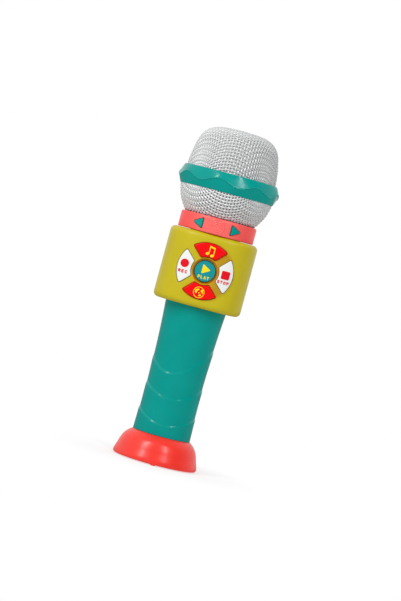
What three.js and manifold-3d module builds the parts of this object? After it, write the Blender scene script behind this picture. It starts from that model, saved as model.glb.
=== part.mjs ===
// A toy microphone: grille head, collar, control box, grip with two cells, and a flared base.
// Millimetres, +Z up, origin at the centre of the base where it rests, front faces -Y.
import * as THREE from 'three';
import { mergeVertices } from 'three/addons/utils/BufferGeometryUtils.js';
import Module from 'manifold-3d';

const wasm = await Module();
wasm.setup();

// ---------------------------------------------------------------- driving dimensions
const GAP = 0.3; // clearance between neighbouring pieces
const WALL = 2; // moulded wall thickness
const ROUND = 28; // facets round the large turned pieces
const SMALL = 8; // facets round bosses, screws and domes

// stations up the axis
const RIM_Z = 0.6; // the base's rim stands this far off the table, on three moulded feet
const BASE_TOP = 19.9;
const BOX_BOTTOM = 113.1;
const BOX_TOP = 164.5;
const COLLAR_TOP = 176.4;
const RING_BOTTOM = 194.5;
const RIDGE_Z = 201.2;
const RING_TOP = 208;
const TOP_Z = 240;

// screws: every one is the same size, with its head towards +Y or towards the table
const SHANK_RADIUS = 1.3;
const SCREW_HEAD = { radius: 2.6, height: 1.8 };
const PILOT_RADIUS = 1.5; // hole that the thread bites in
const CLEAR_RADIUS = 1.6; // hole that the shank passes
const BOSS_RADIUS = 3.2;
const SOCKET_RADIUS = 3;
const SOCKET_FLOOR = 14;
const SCREW_SEAT = 14.2;
const SCREW_TIP = -10;

// base
const FOOT_RADIUS = 1.75;
const FOOT_CIRCLE = 28.3;
const PLATE_RADIUS = 26.2;
const PLATE_BOTTOM = 2.4;
const PLATE_TOP = 5.4;
const BASE_NECK = 4; // depth of the opening that holds the handle's spigot
const BASE_SCREW_X = 22.4;
const BASE_BOSS_RADIUS = 2.6;
const BASE_SCREW_TIP = 12;

// power switch under the base
const KNOB_TRAVEL = 4;
const KNOB = { length: 7.2, width: 5, bottom: 1.6, top: 3.8 };
const STEM = { half: 1.2, top: 6.9 };
const STEM_SLOT = STEM.half + KNOB_TRAVEL / 2 + 2 * GAP; // half the length of the slot it slides in
const SWITCH = { halfLength: 6.5, halfWidth: 3, top: 10, legs: 12.5 };

// handle
const SPIGOT_RADIUS = 18; // neck that the base closes round
const SPIGOT_FLANGE = 19.2;
const NECK_RADIUS = 18.9; // neck that the control box closes round
const NECK_FLANGE = 21.5;
const FLANGE_THICK = 2.1;
const DOOR_ANGLE = THREE.MathUtils.degToRad(57); // half the battery opening, about +Y
const DOOR_BOTTOM = 38;
const DOOR_TOP = 98.8;
const DOOR_SCREW = { z: 95.4, seat: 18.2, tip: 8.5, sink: 2.9 };
const DOOR_MARGIN = GAP / 19; // the gap beside the door, as an angle at the handle's skin
const DOOR_BOSS = { front: 5, back: 15.4 };
const HANDLE_SCREW_Z = { lower: 29, upper: 105 };

// cells, size AA
const CELL_RADIUS = 7.25;
const CELL_LENGTH = 50.5;
const CELL_X = 7.5;
const CELL_Y = 3;
const BAY_BOTTOM = 36.5;
const BAY_TOP = 94.5;
const BAY_FLOOR = -5;
const BAY_WALL = 1.5;
const BAY_HALF_WIDTH = 15.4;
const CONTACT = { halfWidth: 4, halfHeight: 5, inset: 0.6, thick: 0.5 };

// control box: a soft superellipse in plan
const BOX_HALF_WIDTH = 31.3;
const BOX_HALF_DEPTH = 28;
const BOX_SQUARENESS = 2.6;
const BOX_EDGE = 3.5;
const BOX_END_WALL = 2.2;
const BOX_FACETS = 32;
const BOX_SCREW = { x: 24, z: [120.8, 156.5] };

// button cluster on the front of the box
const CLUSTER_Z = 138.8;
const CLUSTER_OUTER = 19.6;
const CLUSTER_INNER = 10;
const ARM_HALF = 2.65; // half the width of an arm of the X between two buttons
const PLAY_RADIUS = 7.15;
const DISH_RADIUS = 9.5;
const DISH_FLOOR = -26.2;
const BUTTON_PROUD = 1;
const BUTTON_BACK = -19.9;
const BUTTON_CENTRE = 15; // from the cluster's centre to the middle of a sector button
const FLANGE_GROW = 1.2; // how far a button's flange reaches behind the wall round its hole

// main circuit board and its rubber domes
const BOARD_FRONT = -16.5;
const BOARD_THICK = 1.6;
const BOARD_HALF = 20;
const DOME_TOP = -19.5;
const BOARD_POST = { x: 17.4, z: 17.6, radius: 1.9 };

// loudspeaker, facing the back of the box
const SPEAKER_RADIUS = 20;
const SPEAKER_FACE = 18.3;
const SLOT_REACH = 15.5; // radius of the round patch of slots
const SLOT_PITCH = 4.2;
const SLOT_HEIGHT = 2;

// collar and its two triangular buttons
const COLLAR_RADIUS = 27.1;
const COLLAR_FLOOR = 166.2;
const COLLAR_NECK = 18;
const COLLAR_INNER = 25.1;
const ARROW_ANGLE = THREE.MathUtils.degToRad(29);
const ARROW_Z = 170.5;
const ARROW = { height: 7, length: 7, corner: 0.9 };
const ARROW_GAP = 0.5;
const ARROW_DOME = { x: 10.8, z: 172.4, base: -17.5, top: -19, size: 0.75 };

// head
const GRILLE_WALL = 1.2;
const SKIRT_RADIUS = 32; // where both grilles slip inside the ring
const RING_INNER = 32.3;
const RIDGE_RADIUS = 36;
const WAVES = 8;
const WAVE_HEIGHT = 1.9;
const WAVE_START = THREE.MathUtils.degToRad(-101); // one crest of the ridge
const LAMP_CIRCLE = 16;

// ---------------------------------------------------------------- materials
const plastic = (color, roughness = 0.38) => new THREE.MeshStandardMaterial({ color, roughness, metalness: 0 });
const metal = (color, roughness = 0.35) => new THREE.MeshStandardMaterial({ color, roughness, metalness: 1 });

const CORAL = '#f94b42';
const TEAL = '#008f88';
const LIME = '#c6b916';
const RED = '#ee0308';
const WHITE = '#f0f3f0';
const SILVER = '#c8c9c8';
const BOARD_GREEN = '#1f6b3a';
const DARK = '#26272a';
const STEEL = '#9a9b9d';
const NICKEL = '#c9cacb';
const RUBBER = '#8e9092';

// ---------------------------------------------------------------- joining and cutting
function toSolid(shape) {
  if (!(shape instanceof THREE.BufferGeometry)) return shape;
  const plain = shape.clone();
  plain.deleteAttribute('normal');
  plain.deleteAttribute('uv');
  const merged = mergeVertices(plain, 1e-4);
  const position = merged.attributes.position;
  const corner = (i) => new THREE.Vector3().fromBufferAttribute(position, i);
  const triangles = [];
  let volume = 0;
  for (let i = 0; i < merged.index.count; i += 3) {
    const [a, b, c] = [0, 1, 2].map((step) => merged.index.getX(i + step));
    if (a === b || b === c || c === a) continue;
    triangles.push(a, b, c);
    volume += corner(a).dot(corner(b).cross(corner(c)));
  }
  if (volume < 0) triangles.reverse();
  return new wasm.Manifold(new wasm.Mesh({
    numProp: 3,
    vertProperties: new Float32Array(position.array),
    triVerts: new Uint32Array(triangles),
  }));
}

const join = (...shapes) => shapes.map(toSolid).reduce((whole, shape) => whole.add(shape));
const cut = (shape, ...tools) => tools.map(toSolid).reduce((left, tool) => left.subtract(tool), toSolid(shape));
const common = (...shapes) => shapes.map(toSolid).reduce((left, shape) => left.intersect(shape));

function toGeometry(shape) {
  const { vertProperties, triVerts } = toSolid(shape).getMesh();
  const geometry = new THREE.BufferGeometry();
  geometry.setAttribute('position', new THREE.BufferAttribute(vertProperties, 3));
  geometry.setIndex(new THREE.BufferAttribute(triVerts, 1));
  geometry.computeVertexNormals();
  return geometry;
}

const microphone = new THREE.Group();

function addPiece(name, shape, material) {
  const mesh = new THREE.Mesh(toGeometry(shape), material);
  mesh.name = name;
  microphone.add(mesh);
}

// ---------------------------------------------------------------- basic shapes
// A solid of revolution about Z from [radius, z] points.
function turned(outline, facets = ROUND) {
  const points = outline.map(([radius, z]) => new THREE.Vector2(radius, z));
  const onAxis = outline[0][0] === 0 && outline.at(-1)[0] === 0;
  if (!onAxis) points.push(points[0].clone());
  return new THREE.LatheGeometry(points, facets).rotateX(Math.PI / 2);
}

// The same about a line parallel to Y, from [radius, y] points.
const turnedAlongY = (outline, x, z, facets = SMALL) => (
  turned(outline, facets).rotateX(-Math.PI / 2).translate(x, 0, z)
);

const disc = (radius, bottom, top, facets = ROUND) => (
  turned([[0, bottom], [radius, bottom], [radius, top], [0, top]], facets)
);
const post = (radius, x, y, bottom, top) => disc(radius, bottom, top, SMALL).translate(x, y, 0);
const rodAlongY = (radius, x, z, front, back) => (
  turnedAlongY([[0, front], [radius, front], [radius, back], [0, back]], x, z)
);
const ringAlongY = (inner, outer, z, front, back) => (
  turnedAlongY([[inner, front], [outer, front], [outer, back], [inner, back]], 0, z, ROUND)
);

function block([x0, x1], [y0, y1], [z0, z1]) {
  const box = new THREE.BoxGeometry(x1 - x0, y1 - y0, z1 - z0);
  return box.translate((x0 + x1) / 2, (y0 + y1) / 2, (z0 + z1) / 2);
}

// A flat outline in x and z, given thickness from front to back.
function prism(shape, front, back) {
  const options = { depth: back - front, bevelEnabled: false, curveSegments: 5 };
  return new THREE.ExtrudeGeometry(shape, options).rotateX(Math.PI / 2).translate(0, back, 0);
}

// A smooth outline through a few [radius, z] points.
function smooth(outline, count) {
  const curve = new THREE.SplineCurve(outline.map(([radius, z]) => new THREE.Vector2(radius, z)));
  return curve.getPoints(count).map((point) => [point.x, point.y]);
}

// The same outline moved sideways by a wall's thickness, towards the axis side of its travel direction.
function inset(outline, thickness) {
  return outline.map(([radius, z], i) => {
    const [r0, z0] = outline[Math.max(i - 1, 0)];
    const [r1, z1] = outline[Math.min(i + 1, outline.length - 1)];
    const length = Math.hypot(r1 - r0, z1 - z0);
    const moved = radius - (thickness * (z1 - z0)) / length;
    return [radius === 0 ? 0 : moved, z + (thickness * (r1 - r0)) / length];
  });
}

// A quarter round of [radius, z] points about a centre.
function quarter(radius, z, size, from, steps = 2) {
  return Array.from({ length: steps + 1 }, (_, i) => {
    const angle = from + (i / steps) * (Math.PI / 2);
    return [radius + size * Math.cos(angle), z + size * Math.sin(angle)];
  });
}

function wire(points, radius = 0.6, steps = 3 * points.length) {
  const path = new THREE.CatmullRomCurve3(points.map((point) => new THREE.Vector3(...point)));
  const section = new THREE.Shape(new THREE.EllipseCurve(0, 0, radius, radius).getPoints(4).slice(0, 4));
  return new THREE.ExtrudeGeometry(section, { steps, extrudePath: path });
}

// A screw along Y whose head is at the back: shank towards -Y.
function screwAlongY(x, z, seat = SCREW_SEAT, tip = SCREW_TIP) {
  const { radius, height } = SCREW_HEAD;
  return turnedAlongY([
    [0, tip], [SHANK_RADIUS, tip + 1.6], [SHANK_RADIUS, seat], [radius, seat], [radius, seat + height],
    [0, seat + height],
  ], x, z);
}

// The holes that take such a screw: a clear hole with a socket for its head, and a pilot in front of it.
const screwSocket = (x, z) => [
  rodAlongY(CLEAR_RADIUS, x, z, -1, 30),
  rodAlongY(SOCKET_RADIUS, x, z, SOCKET_FLOOR, 30),
];
const screwPilot = (x, z) => rodAlongY(PILOT_RADIUS, x, z, -14, 1);

const EVERYWHERE = [-60, 60];
const FAR_FRONT = -40; // well clear of the front of the box
const frontHalf = (shape) => common(shape, block(EVERYWHERE, [-60, -GAP / 2], [-10, 260]));
const backHalf = (shape) => common(shape, block(EVERYWHERE, [GAP / 2, 60], [-10, 260]));

// ---------------------------------------------------------------- base
function baseFoot() {
  const neck = SPIGOT_RADIUS + GAP;
  const flank = smooth([[30, 2.7], [28.4, 8.1], [27.3, 11.7], [25.7, 15.1], [23, 17.9], [20.5, BASE_TOP]], 6);
  const shell = turned([
    [PLATE_RADIUS + GAP, RIM_Z], ...quarter(28.9, RIM_Z + 1.2, 1.2, -Math.PI / 2), ...flank,
    [neck, BASE_TOP], [neck, BASE_TOP - BASE_NECK], [21.5, BASE_TOP - BASE_NECK], [23.6, 14.2], [25, 12],
    [PLATE_RADIUS, 8], [PLATE_RADIUS + GAP, 6],
  ]);
  const feet = [0, 1, 2].map((i) => {
    const angle = -Math.PI / 2 + (i * 2 * Math.PI) / 3;
    const [x, y] = [FOOT_CIRCLE * Math.cos(angle), FOOT_CIRCLE * Math.sin(angle)];
    return post(FOOT_RADIUS, x, y, 0, RIM_Z + 1.5);
  });
  const bosses = [-1, 1].map((side) => cut(
    post(BASE_BOSS_RADIUS, side * BASE_SCREW_X, 0, PLATE_TOP + GAP, 15),
    post(PILOT_RADIUS, side * BASE_SCREW_X, 0, 0, BASE_SCREW_TIP + 1),
  ));
  return join(shell, ...feet, ...bosses);
}

function basePlate() {
  const screwHoles = [-1, 1].flatMap((side) => [
    post(CLEAR_RADIUS, side * BASE_SCREW_X, 0, 0, PLATE_TOP + 1),
    post(SOCKET_RADIUS, side * BASE_SCREW_X, 0, 0, PLATE_BOTTOM + 1.7),
  ]);
  const pocketHalf = (KNOB.length + KNOB_TRAVEL) / 2 + 2 * GAP;
  const knobPocket = block([-pocketHalf, pocketHalf], [-2.9, 2.9], [0, KNOB.top + GAP]);
  const stemSlot = block([-STEM_SLOT, STEM_SLOT], [-1.6, 1.6], [0, PLATE_TOP + 1]);
  return cut(disc(PLATE_RADIUS, PLATE_BOTTOM, PLATE_TOP), ...screwHoles, knobPocket, stemSlot);
}

// A screw along Z whose head is at the bottom.
function baseScrew(side) {
  const seat = PLATE_BOTTOM + 1.5;
  const { radius } = SCREW_HEAD;
  return turned([
    [0, seat - 1.4], [1.8, seat - 1.4], [radius, seat - 0.6], [radius, seat], [SHANK_RADIUS, seat],
    [SHANK_RADIUS, BASE_SCREW_TIP - 1.4], [0, BASE_SCREW_TIP],
  ], SMALL).translate(side * BASE_SCREW_X, 0, 0);
}

function switchKnob() {
  const { length, width, bottom, top } = KNOB;
  const cap = block([-length / 2, length / 2], [-width / 2, width / 2], [bottom, top]);
  const stem = block([-STEM.half, STEM.half], [-STEM.half, STEM.half], [top, STEM.top]);
  const grips = [-2.4, 0, 2.4].map((x) => block([x - 0.45, x + 0.45], [-width, width], [0, bottom + 0.35]));
  return cut(join(cap, stem), ...grips).translate(-KNOB_TRAVEL / 2, 0, 0);
}

function slideSwitch() {
  const { halfLength, halfWidth, top, legs: tip } = SWITCH;
  const body = block([-halfLength, halfLength], [-halfWidth, halfWidth], [PLATE_TOP + GAP, top]);
  const groove = block([-STEM_SLOT, STEM_SLOT], [-1.5, 1.5], [PLATE_TOP, STEM.top + 0.4]);
  const legs = [-4, 0, 4].map((x) => block([x - 0.5, x + 0.5], [-0.3, 0.3], [top, tip]));
  return join(cut(body, groove), ...legs);
}

addPiece('base_foot', baseFoot(), plastic(CORAL));
addPiece('base_plate', basePlate(), plastic(CORAL, 0.5));
addPiece('base_screw_left', baseScrew(-1), metal(STEEL));
addPiece('base_screw_right', baseScrew(1), metal(STEEL));
addPiece('power_switch_knob', switchKnob(), plastic(DARK, 0.5));
addPiece('power_switch_body', slideSwitch(), metal('#b9babb', 0.4));

// ---------------------------------------------------------------- handle
const handleFlank = smooth([
  [20.4, BASE_TOP + GAP], [19.9, 36], [19.5, 60], [19.9, 80], [20.7, 98], [21.8, BOX_BOTTOM - GAP],
], 6);
const SPIGOT_TOP = BASE_TOP - BASE_NECK - GAP;
const NECK_BOTTOM = BOX_BOTTOM + BOX_END_WALL + GAP;
const HANDLE_ENDS = [SPIGOT_TOP - FLANGE_THICK, NECK_BOTTOM + FLANGE_THICK];

function handleTube() {
  const [bottom, top] = HANDLE_ENDS;
  return turned([
    [SPIGOT_FLANGE, bottom], [SPIGOT_FLANGE, SPIGOT_TOP], [SPIGOT_RADIUS, SPIGOT_TOP],
    [SPIGOT_RADIUS, BASE_TOP + GAP], ...handleFlank, [NECK_RADIUS, BOX_BOTTOM - GAP],
    [NECK_RADIUS, NECK_BOTTOM], [NECK_FLANGE, NECK_BOTTOM], [NECK_FLANGE, top], [17, top], [17, 112],
    [19, 106], [18.2, 95], [17.6, 76], [17.4, 60], [17.8, 30], [16, 24], [16, bottom],
  ]);
}

// The wedge of the handle that opens for the cells, from above.
function doorWedge(bottom, top, margin) {
  const reach = 45;
  const half = DOOR_ANGLE - margin;
  const [x, y] = [reach * Math.sin(half), reach * Math.cos(half)];
  const shape = new THREE.Shape([new THREE.Vector2(0, 2), new THREE.Vector2(x, y), new THREE.Vector2(-x, y)]);
  const options = { depth: top - bottom, bevelEnabled: false };
  return new THREE.ExtrudeGeometry(shape, options).translate(0, 0, bottom);
}

// The handle's screw bosses, on one side of the joint, held inside its wall.
function handleBosses(front, back) {
  const [bottom, top] = HANDLE_ENDS;
  const within = turned([[0, bottom], [17, bottom], [19, 24], [18.6, 60], [20, 106], [17.5, top], [0, top]]);
  return Object.values(HANDLE_SCREW_Z).map((z) => common(rodAlongY(BOSS_RADIUS, 0, z, front, back), within));
}

function handleFront() {
  const pilots = Object.values(HANDLE_SCREW_Z).map((z) => screwPilot(0, z));
  return cut(join(frontHalf(handleTube()), ...handleBosses(-19, -GAP)), ...pilots);
}

// The cell bay's floor and end walls, which run out to the handle's skin beside the door.
function cellBay() {
  const reach = [BAY_BOTTOM - 2, BAY_TOP + 2];
  const flanks = cut(disc(18.9, ...reach), doorWedge(BAY_BOTTOM - 3, BAY_TOP + 3, -DOOR_MARGIN));
  const inside = join(disc(17.7, ...reach), flanks);
  const across = [-BAY_HALF_WIDTH, BAY_HALF_WIDTH];
  const floor = block(across, [BAY_FLOOR - BAY_WALL, BAY_FLOOR], [BAY_BOTTOM - BAY_WALL, BAY_TOP + BAY_WALL]);
  const ends = [[BAY_BOTTOM - BAY_WALL, BAY_BOTTOM], [BAY_TOP, BAY_TOP + BAY_WALL]].flatMap((span) => [
    common(block([-20, 20], [0, 20], span), inside),
    block(across, [BAY_FLOOR - BAY_WALL, 1], span),
  ]);
  return join(floor, ...ends);
}

function handleBack() {
  const { z } = DOOR_SCREW;
  const sockets = Object.values(HANDLE_SCREW_Z).flatMap((height) => screwSocket(0, height));
  const shell = cut(backHalf(handleTube()), doorWedge(DOOR_BOTTOM, DOOR_TOP, 0));
  const doorBoss = rodAlongY(BOSS_RADIUS, 0, z, DOOR_BOSS.front, DOOR_BOSS.back);
  const doorPilot = rodAlongY(PILOT_RADIUS, 0, z, 7, 20);
  const doorSeat = rodAlongY(4, 0, z, DOOR_BOSS.back, 30);
  return cut(join(shell, cellBay(), ...handleBosses(GAP, 19), doorBoss), ...sockets, doorPilot, doorSeat);
}

function batteryDoor() {
  const { z, seat: headSeat, sink } = DOOR_SCREW;
  const top = DOOR_TOP - GAP;
  const skin = turned([...handleFlank, ...inset(handleFlank, WALL).reverse()]);
  const panel = common(skin, doorWedge(DOOR_BOTTOM + GAP, top, DOOR_MARGIN));
  const seat = common(rodAlongY(3.6, 0, z, DOOR_BOSS.back + 0.4, 30), disc(20, 80, top));
  const screwHole = [rodAlongY(CLEAR_RADIUS, 0, z, 10, 30), rodAlongY(sink, 0, z, headSeat - 0.2, 30)];
  return cut(join(panel, seat), ...screwHole);
}

addPiece('handle_front', handleFront(), plastic(TEAL));
addPiece('handle_back', handleBack(), plastic(TEAL));
addPiece('battery_door', batteryDoor(), plastic(TEAL));
addPiece('battery_door_screw', screwAlongY(0, DOOR_SCREW.z, DOOR_SCREW.seat, DOOR_SCREW.tip), metal(STEEL));
addPiece('handle_screw_lower', screwAlongY(0, HANDLE_SCREW_Z.lower), metal(STEEL));
addPiece('handle_screw_upper', screwAlongY(0, HANDLE_SCREW_Z.upper), metal(STEEL));

// ---------------------------------------------------------------- cells and their contacts
// One cell: its raised end is up on the left and down on the right.
function cell(side) {
  const body = CELL_LENGTH - 1.2;
  const nub = 2.7;
  const shape = turned([
    [0, 0], [CELL_RADIUS - 0.4, 0], [CELL_RADIUS, 0.4], [CELL_RADIUS, body - 0.5], [CELL_RADIUS - 0.5, body],
    [nub, body], [nub, CELL_LENGTH], [0, CELL_LENGTH],
  ], 18);
  if (side > 0) shape.rotateX(Math.PI).translate(0, 0, CELL_LENGTH);
  const bottom = side > 0 ? BAY_BOTTOM + 3 : BAY_BOTTOM + 4.7;
  return shape.translate(side * CELL_X, CELL_Y, bottom);
}

// The metal plate against one end of the bay, behind one cell, with the heights of its two faces.
function endPlate(side, atTop) {
  const { halfWidth, halfHeight, inset: gap, thick } = CONTACT;
  const span = atTop ? [BAY_TOP - gap - thick, BAY_TOP - gap] : [BAY_BOTTOM + gap, BAY_BOTTOM + gap + thick];
  const [x, y] = [side * CELL_X, CELL_Y];
  return { span, plate: block([x - halfWidth, x + halfWidth], [y - halfHeight, y + halfHeight], span) };
}

// A coil that tapers from its plate to the cell: at the top for the right cell, at the bottom for the left.
function contactSpring(side) {
  const { span, plate } = endPlate(side, side > 0);
  const [from, to] = side > 0 ? [span[0] + 0.2, BAY_TOP - 3.4] : [span[1] - 0.2, BAY_BOTTOM + 3.8];
  const turns = 2.25;
  const count = 16;
  const points = Array.from({ length: count + 1 }, (_, i) => {
    const share = i / count;
    const angle = share * turns * 2 * Math.PI;
    const radius = 3.6 - 1.4 * share;
    return [radius * Math.cos(angle), radius * Math.sin(angle), from + (to - from) * share];
  });
  return join(plate, wire(points, 0.35, count).translate(side * CELL_X, CELL_Y, 0));
}

// The flat contact at the other end, with a raised dimple for the cell to press on.
function contactPlate(side) {
  const { span, plate } = endPlate(side, side < 0);
  const [low, high] = side > 0 ? [span[1] - 0.1, BAY_BOTTOM + 2.6] : [BAY_TOP - 2.4, span[0] + 0.1];
  return join(plate, post(1.8, side * CELL_X, CELL_Y, low, high));
}

for (const [name, side] of [['left', -1], ['right', 1]]) {
  addPiece(`battery_${name}`, cell(side), metal('#6d7074', 0.3));
  addPiece(`battery_spring_${name}`, contactSpring(side), metal(NICKEL, 0.25));
  addPiece(`battery_contact_${name}`, contactPlate(side), metal(NICKEL, 0.25));
}

// ---------------------------------------------------------------- control box
function boxOutline(offset) {
  const power = 2 / BOX_SQUARENESS;
  const points = Array.from({ length: BOX_FACETS }, (_, i) => {
    const angle = (2 * Math.PI * i) / BOX_FACETS;
    const [c, s] = [Math.cos(angle), Math.sin(angle)];
    const x = (BOX_HALF_WIDTH + offset) * Math.sign(c) * Math.abs(c) ** power;
    const y = (BOX_HALF_DEPTH + offset) * Math.sign(s) * Math.abs(s) ** power;
    return new THREE.Vector2(x, y);
  });
  return new THREE.Shape(points);
}

function boxPrism(offset, bottom, top) {
  return new THREE.ExtrudeGeometry(boxOutline(offset), { depth: top - bottom, bevelEnabled: false })
    .translate(0, 0, bottom);
}

function boxBody() {
  const options = {
    depth: BOX_TOP - BOX_BOTTOM - 2 * BOX_EDGE,
    bevelThickness: BOX_EDGE,
    bevelSize: BOX_EDGE,
    bevelOffset: -BOX_EDGE,
    bevelSegments: 2,
  };
  return new THREE.ExtrudeGeometry(boxOutline(0), options).translate(0, 0, BOX_BOTTOM + BOX_EDGE);
}

function boxShell() {
  return cut(
    boxBody(),
    boxPrism(-WALL, BOX_BOTTOM + BOX_END_WALL, BOX_TOP - BOX_END_WALL),
    disc(NECK_RADIUS + GAP, BOX_BOTTOM - 1, BOX_BOTTOM + 5),
    disc(COLLAR_NECK + GAP, BOX_TOP - 5, BOX_TOP + 1),
  );
}

// One sector of the cluster, pointing up, between two arms of the X.
function sectorShape(inner, outer, armHalf) {
  const cornerAngle = (radius) => Math.PI / 4 + Math.asin(armHalf / radius);
  const shape = new THREE.Shape();
  shape.absarc(0, 0, outer, cornerAngle(outer), Math.PI - cornerAngle(outer), false);
  shape.absarc(0, 0, inner, Math.PI - cornerAngle(inner), cornerAngle(inner), true);
  shape.closePath();
  return shape;
}

const SECTORS = {
  song_button: { turn: 0, color: RED },
  record_button: { turn: Math.PI / 2, color: WHITE },
  globe_button: { turn: Math.PI, color: RED },
  stop_button: { turn: -Math.PI / 2, color: WHITE },
};

// The middle of a sector button, in x and z.
const sectorCentre = ({ turn }) => (
  [-BUTTON_CENTRE * Math.sin(turn), CLUSTER_Z + BUTTON_CENTRE * Math.cos(turn)]
);

// A sector grown by a margin all round, as a prism turned to its place in the cluster.
function sectorPrism({ turn }, grow, front, back, innerGrow = grow) {
  const shape = sectorShape(CLUSTER_INNER - innerGrow, CLUSTER_OUTER + grow, ARM_HALF - grow);
  return prism(shape, front, back).rotateY(-turn).translate(0, 0, CLUSTER_Z);
}

// A hollow cap that follows the box's face, with a flange behind the wall and a plunger in the middle.
function sectorButton(sector) {
  const within = (offset) => boxPrism(offset, BOX_BOTTOM, BOX_TOP);
  const cap = common(sectorPrism(sector, 0, FAR_FRONT, BUTTON_BACK), within(BUTTON_PROUD));
  const flange = common(sectorPrism(sector, FLANGE_GROW, FAR_FRONT, BUTTON_BACK, 0), within(-WALL - 2 * GAP));
  const hollow = common(sectorPrism(sector, -1.6, FAR_FRONT, BUTTON_BACK + 1), within(BUTTON_PROUD - WALL));
  const plunger = common(rodAlongY(2.2, ...sectorCentre(sector), FAR_FRONT, BUTTON_BACK), within(0));
  return join(cut(join(cap, flange), hollow), plunger);
}

function playButton() {
  const flange = { radius: 8.6, front: -23.6, back: -22.6 };
  const plunger = 2.4;
  return turnedAlongY([
    [0, -28.8], [PLAY_RADIUS - 0.6, -28.6], [PLAY_RADIUS, -28], [PLAY_RADIUS, flange.front],
    [flange.radius, flange.front], [flange.radius, flange.back], [plunger, flange.back],
    [plunger, BUTTON_BACK], [0, BUTTON_BACK],
  ], 0, CLUSTER_Z, 24);
}

// Calls a maker with the x and z of each of the box's screws.
const atBoxScrews = (make) => (
  [-1, 1].flatMap((side) => BOX_SCREW.z.flatMap((z) => make(side * BOX_SCREW.x, z)))
);

function housingFront() {
  const hole = PLAY_RADIUS + GAP;
  const sectorHoles = Object.values(SECTORS).map((sector) => sectorPrism(sector, GAP, FAR_FRONT, -18));
  const dish = turnedAlongY([
    [0, -20], [hole, -20], [hole, DISH_FLOOR], [DISH_RADIUS, -BOX_HALF_DEPTH], [DISH_RADIUS, FAR_FRONT],
    [0, FAR_FRONT],
  ], 0, CLUSTER_Z, 24);
  const hub = ringAlongY(hole, CLUSTER_INNER, CLUSTER_Z, -27, -24);
  const bosses = atBoxScrews((x, z) => rodAlongY(BOSS_RADIUS, x, z, -26, -GAP));
  const pilots = atBoxScrews(screwPilot);
  const { x: postX, z: postZ, radius: postRadius } = BOARD_POST;
  const boardPosts = [-1, 1].flatMap((side) => [-1, 1].map((level) => (
    rodAlongY(postRadius, side * postX, CLUSTER_Z + level * postZ, -27, BOARD_FRONT - GAP)
  )));
  const solid = common(join(frontHalf(boxShell()), hub, ...bosses, ...boardPosts), boxBody());
  return cut(solid, ...sectorHoles, dish, ...pilots);
}

function housingBack() {
  const bosses = atBoxScrews((x, z) => rodAlongY(SOCKET_RADIUS + 0.6, x, z, GAP, 24));
  const sockets = atBoxScrews(screwSocket);
  const seat = ringAlongY(17.2, SPEAKER_RADIUS + 0.4, CLUSTER_Z, SPEAKER_FACE + GAP, 27);
  const slots = [-3, -2, -1, 0, 1, 2, 3].map((i) => {
    const half = Math.sqrt(SLOT_REACH ** 2 - (i * SLOT_PITCH) ** 2);
    const z = CLUSTER_Z + i * SLOT_PITCH;
    return block([-half, half], [20, 30], [z - SLOT_HEIGHT / 2, z + SLOT_HEIGHT / 2]);
  });
  const solid = common(join(backHalf(boxShell()), seat, ...bosses), boxBody());
  return cut(solid, ...slots, ...sockets);
}

addPiece('housing_front', housingFront(), plastic(LIME));
addPiece('housing_back', housingBack(), plastic(LIME));
for (const [level, z] of [['lower', BOX_SCREW.z[0]], ['upper', BOX_SCREW.z[1]]]) {
  addPiece(`housing_screw_${level}_left`, screwAlongY(-BOX_SCREW.x, z), metal(STEEL));
  addPiece(`housing_screw_${level}_right`, screwAlongY(BOX_SCREW.x, z), metal(STEEL));
}
for (const [name, sector] of Object.entries(SECTORS)) {
  addPiece(name, sectorButton(sector), plastic(sector.color, 0.3));
}
addPiece('play_button', playButton(), plastic('#028d91', 0.3));

// ---------------------------------------------------------------- board, domes and speaker
// A hollow rubber dome with its foot on a board and its crown towards a button.
function rubberDome(x, z, base = BOARD_FRONT - GAP, top = DOME_TOP, size = 1) {
  const crown = top + 1;
  const outline = [
    [0, crown + 0.2], [1.4, crown + 0.4], [2.8, base], [3.6, base], [3.6, base - 0.5], [2.3, crown],
    [2, top], [0, top],
  ];
  return turnedAlongY(outline.map(([radius, y]) => [radius * size, y]), x, z);
}

function mainBoard() {
  const half = BOARD_HALF;
  return block([-half, half], [BOARD_FRONT, BOARD_FRONT + BOARD_THICK], [CLUSTER_Z - half, CLUSTER_Z + half]);
}

const BOARD_BACK = BOARD_FRONT + BOARD_THICK;
addPiece('main_board', mainBoard(), plastic(BOARD_GREEN, 0.5));
for (const [name, sector] of Object.entries(SECTORS)) {
  addPiece(name.replace('button', 'dome'), rubberDome(...sectorCentre(sector)), plastic(RUBBER, 0.8));
}
addPiece('play_dome', rubberDome(0, CLUSTER_Z), plastic(RUBBER, 0.8));
addPiece('sound_chip', block([-6, 4], [BOARD_BACK + GAP, BOARD_BACK + 2], [143, 151]), plastic(DARK, 0.5));
addPiece('capacitor', rodAlongY(3.1, 11, 149, BOARD_BACK + GAP, BOARD_BACK + 8), metal('#4a4c55', 0.4));

addPiece('speaker_basket', turnedAlongY([
  [SPEAKER_RADIUS, SPEAKER_FACE], [SPEAKER_RADIUS, 16.8], [17.6, 16.8], [11.4, 8.4], [4.5, 8.4], [4.5, 9.4],
  [11, 9.4], [16.8, 17.4], [16.8, SPEAKER_FACE],
], 0, CLUSTER_Z, 20), metal('#8d8f92', 0.4));
addPiece('speaker_cone', turnedAlongY([
  [0, 12.4], [3, 12], [5, 11.2], [15.6, 17.2], [16.4, 17.7], [16.4, 18.1], [15.3, 17.9], [4.9, 12],
  [3, 12.8], [0, 13.2],
], 0, CLUSTER_Z, 20), plastic('#1c1c1e', 0.9));
addPiece('speaker_magnet', turnedAlongY([
  [0, 1.5], [9, 1.5], [9, 8.1], [0, 8.1],
], 0, CLUSTER_Z, 20), metal('#55575b'));

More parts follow.
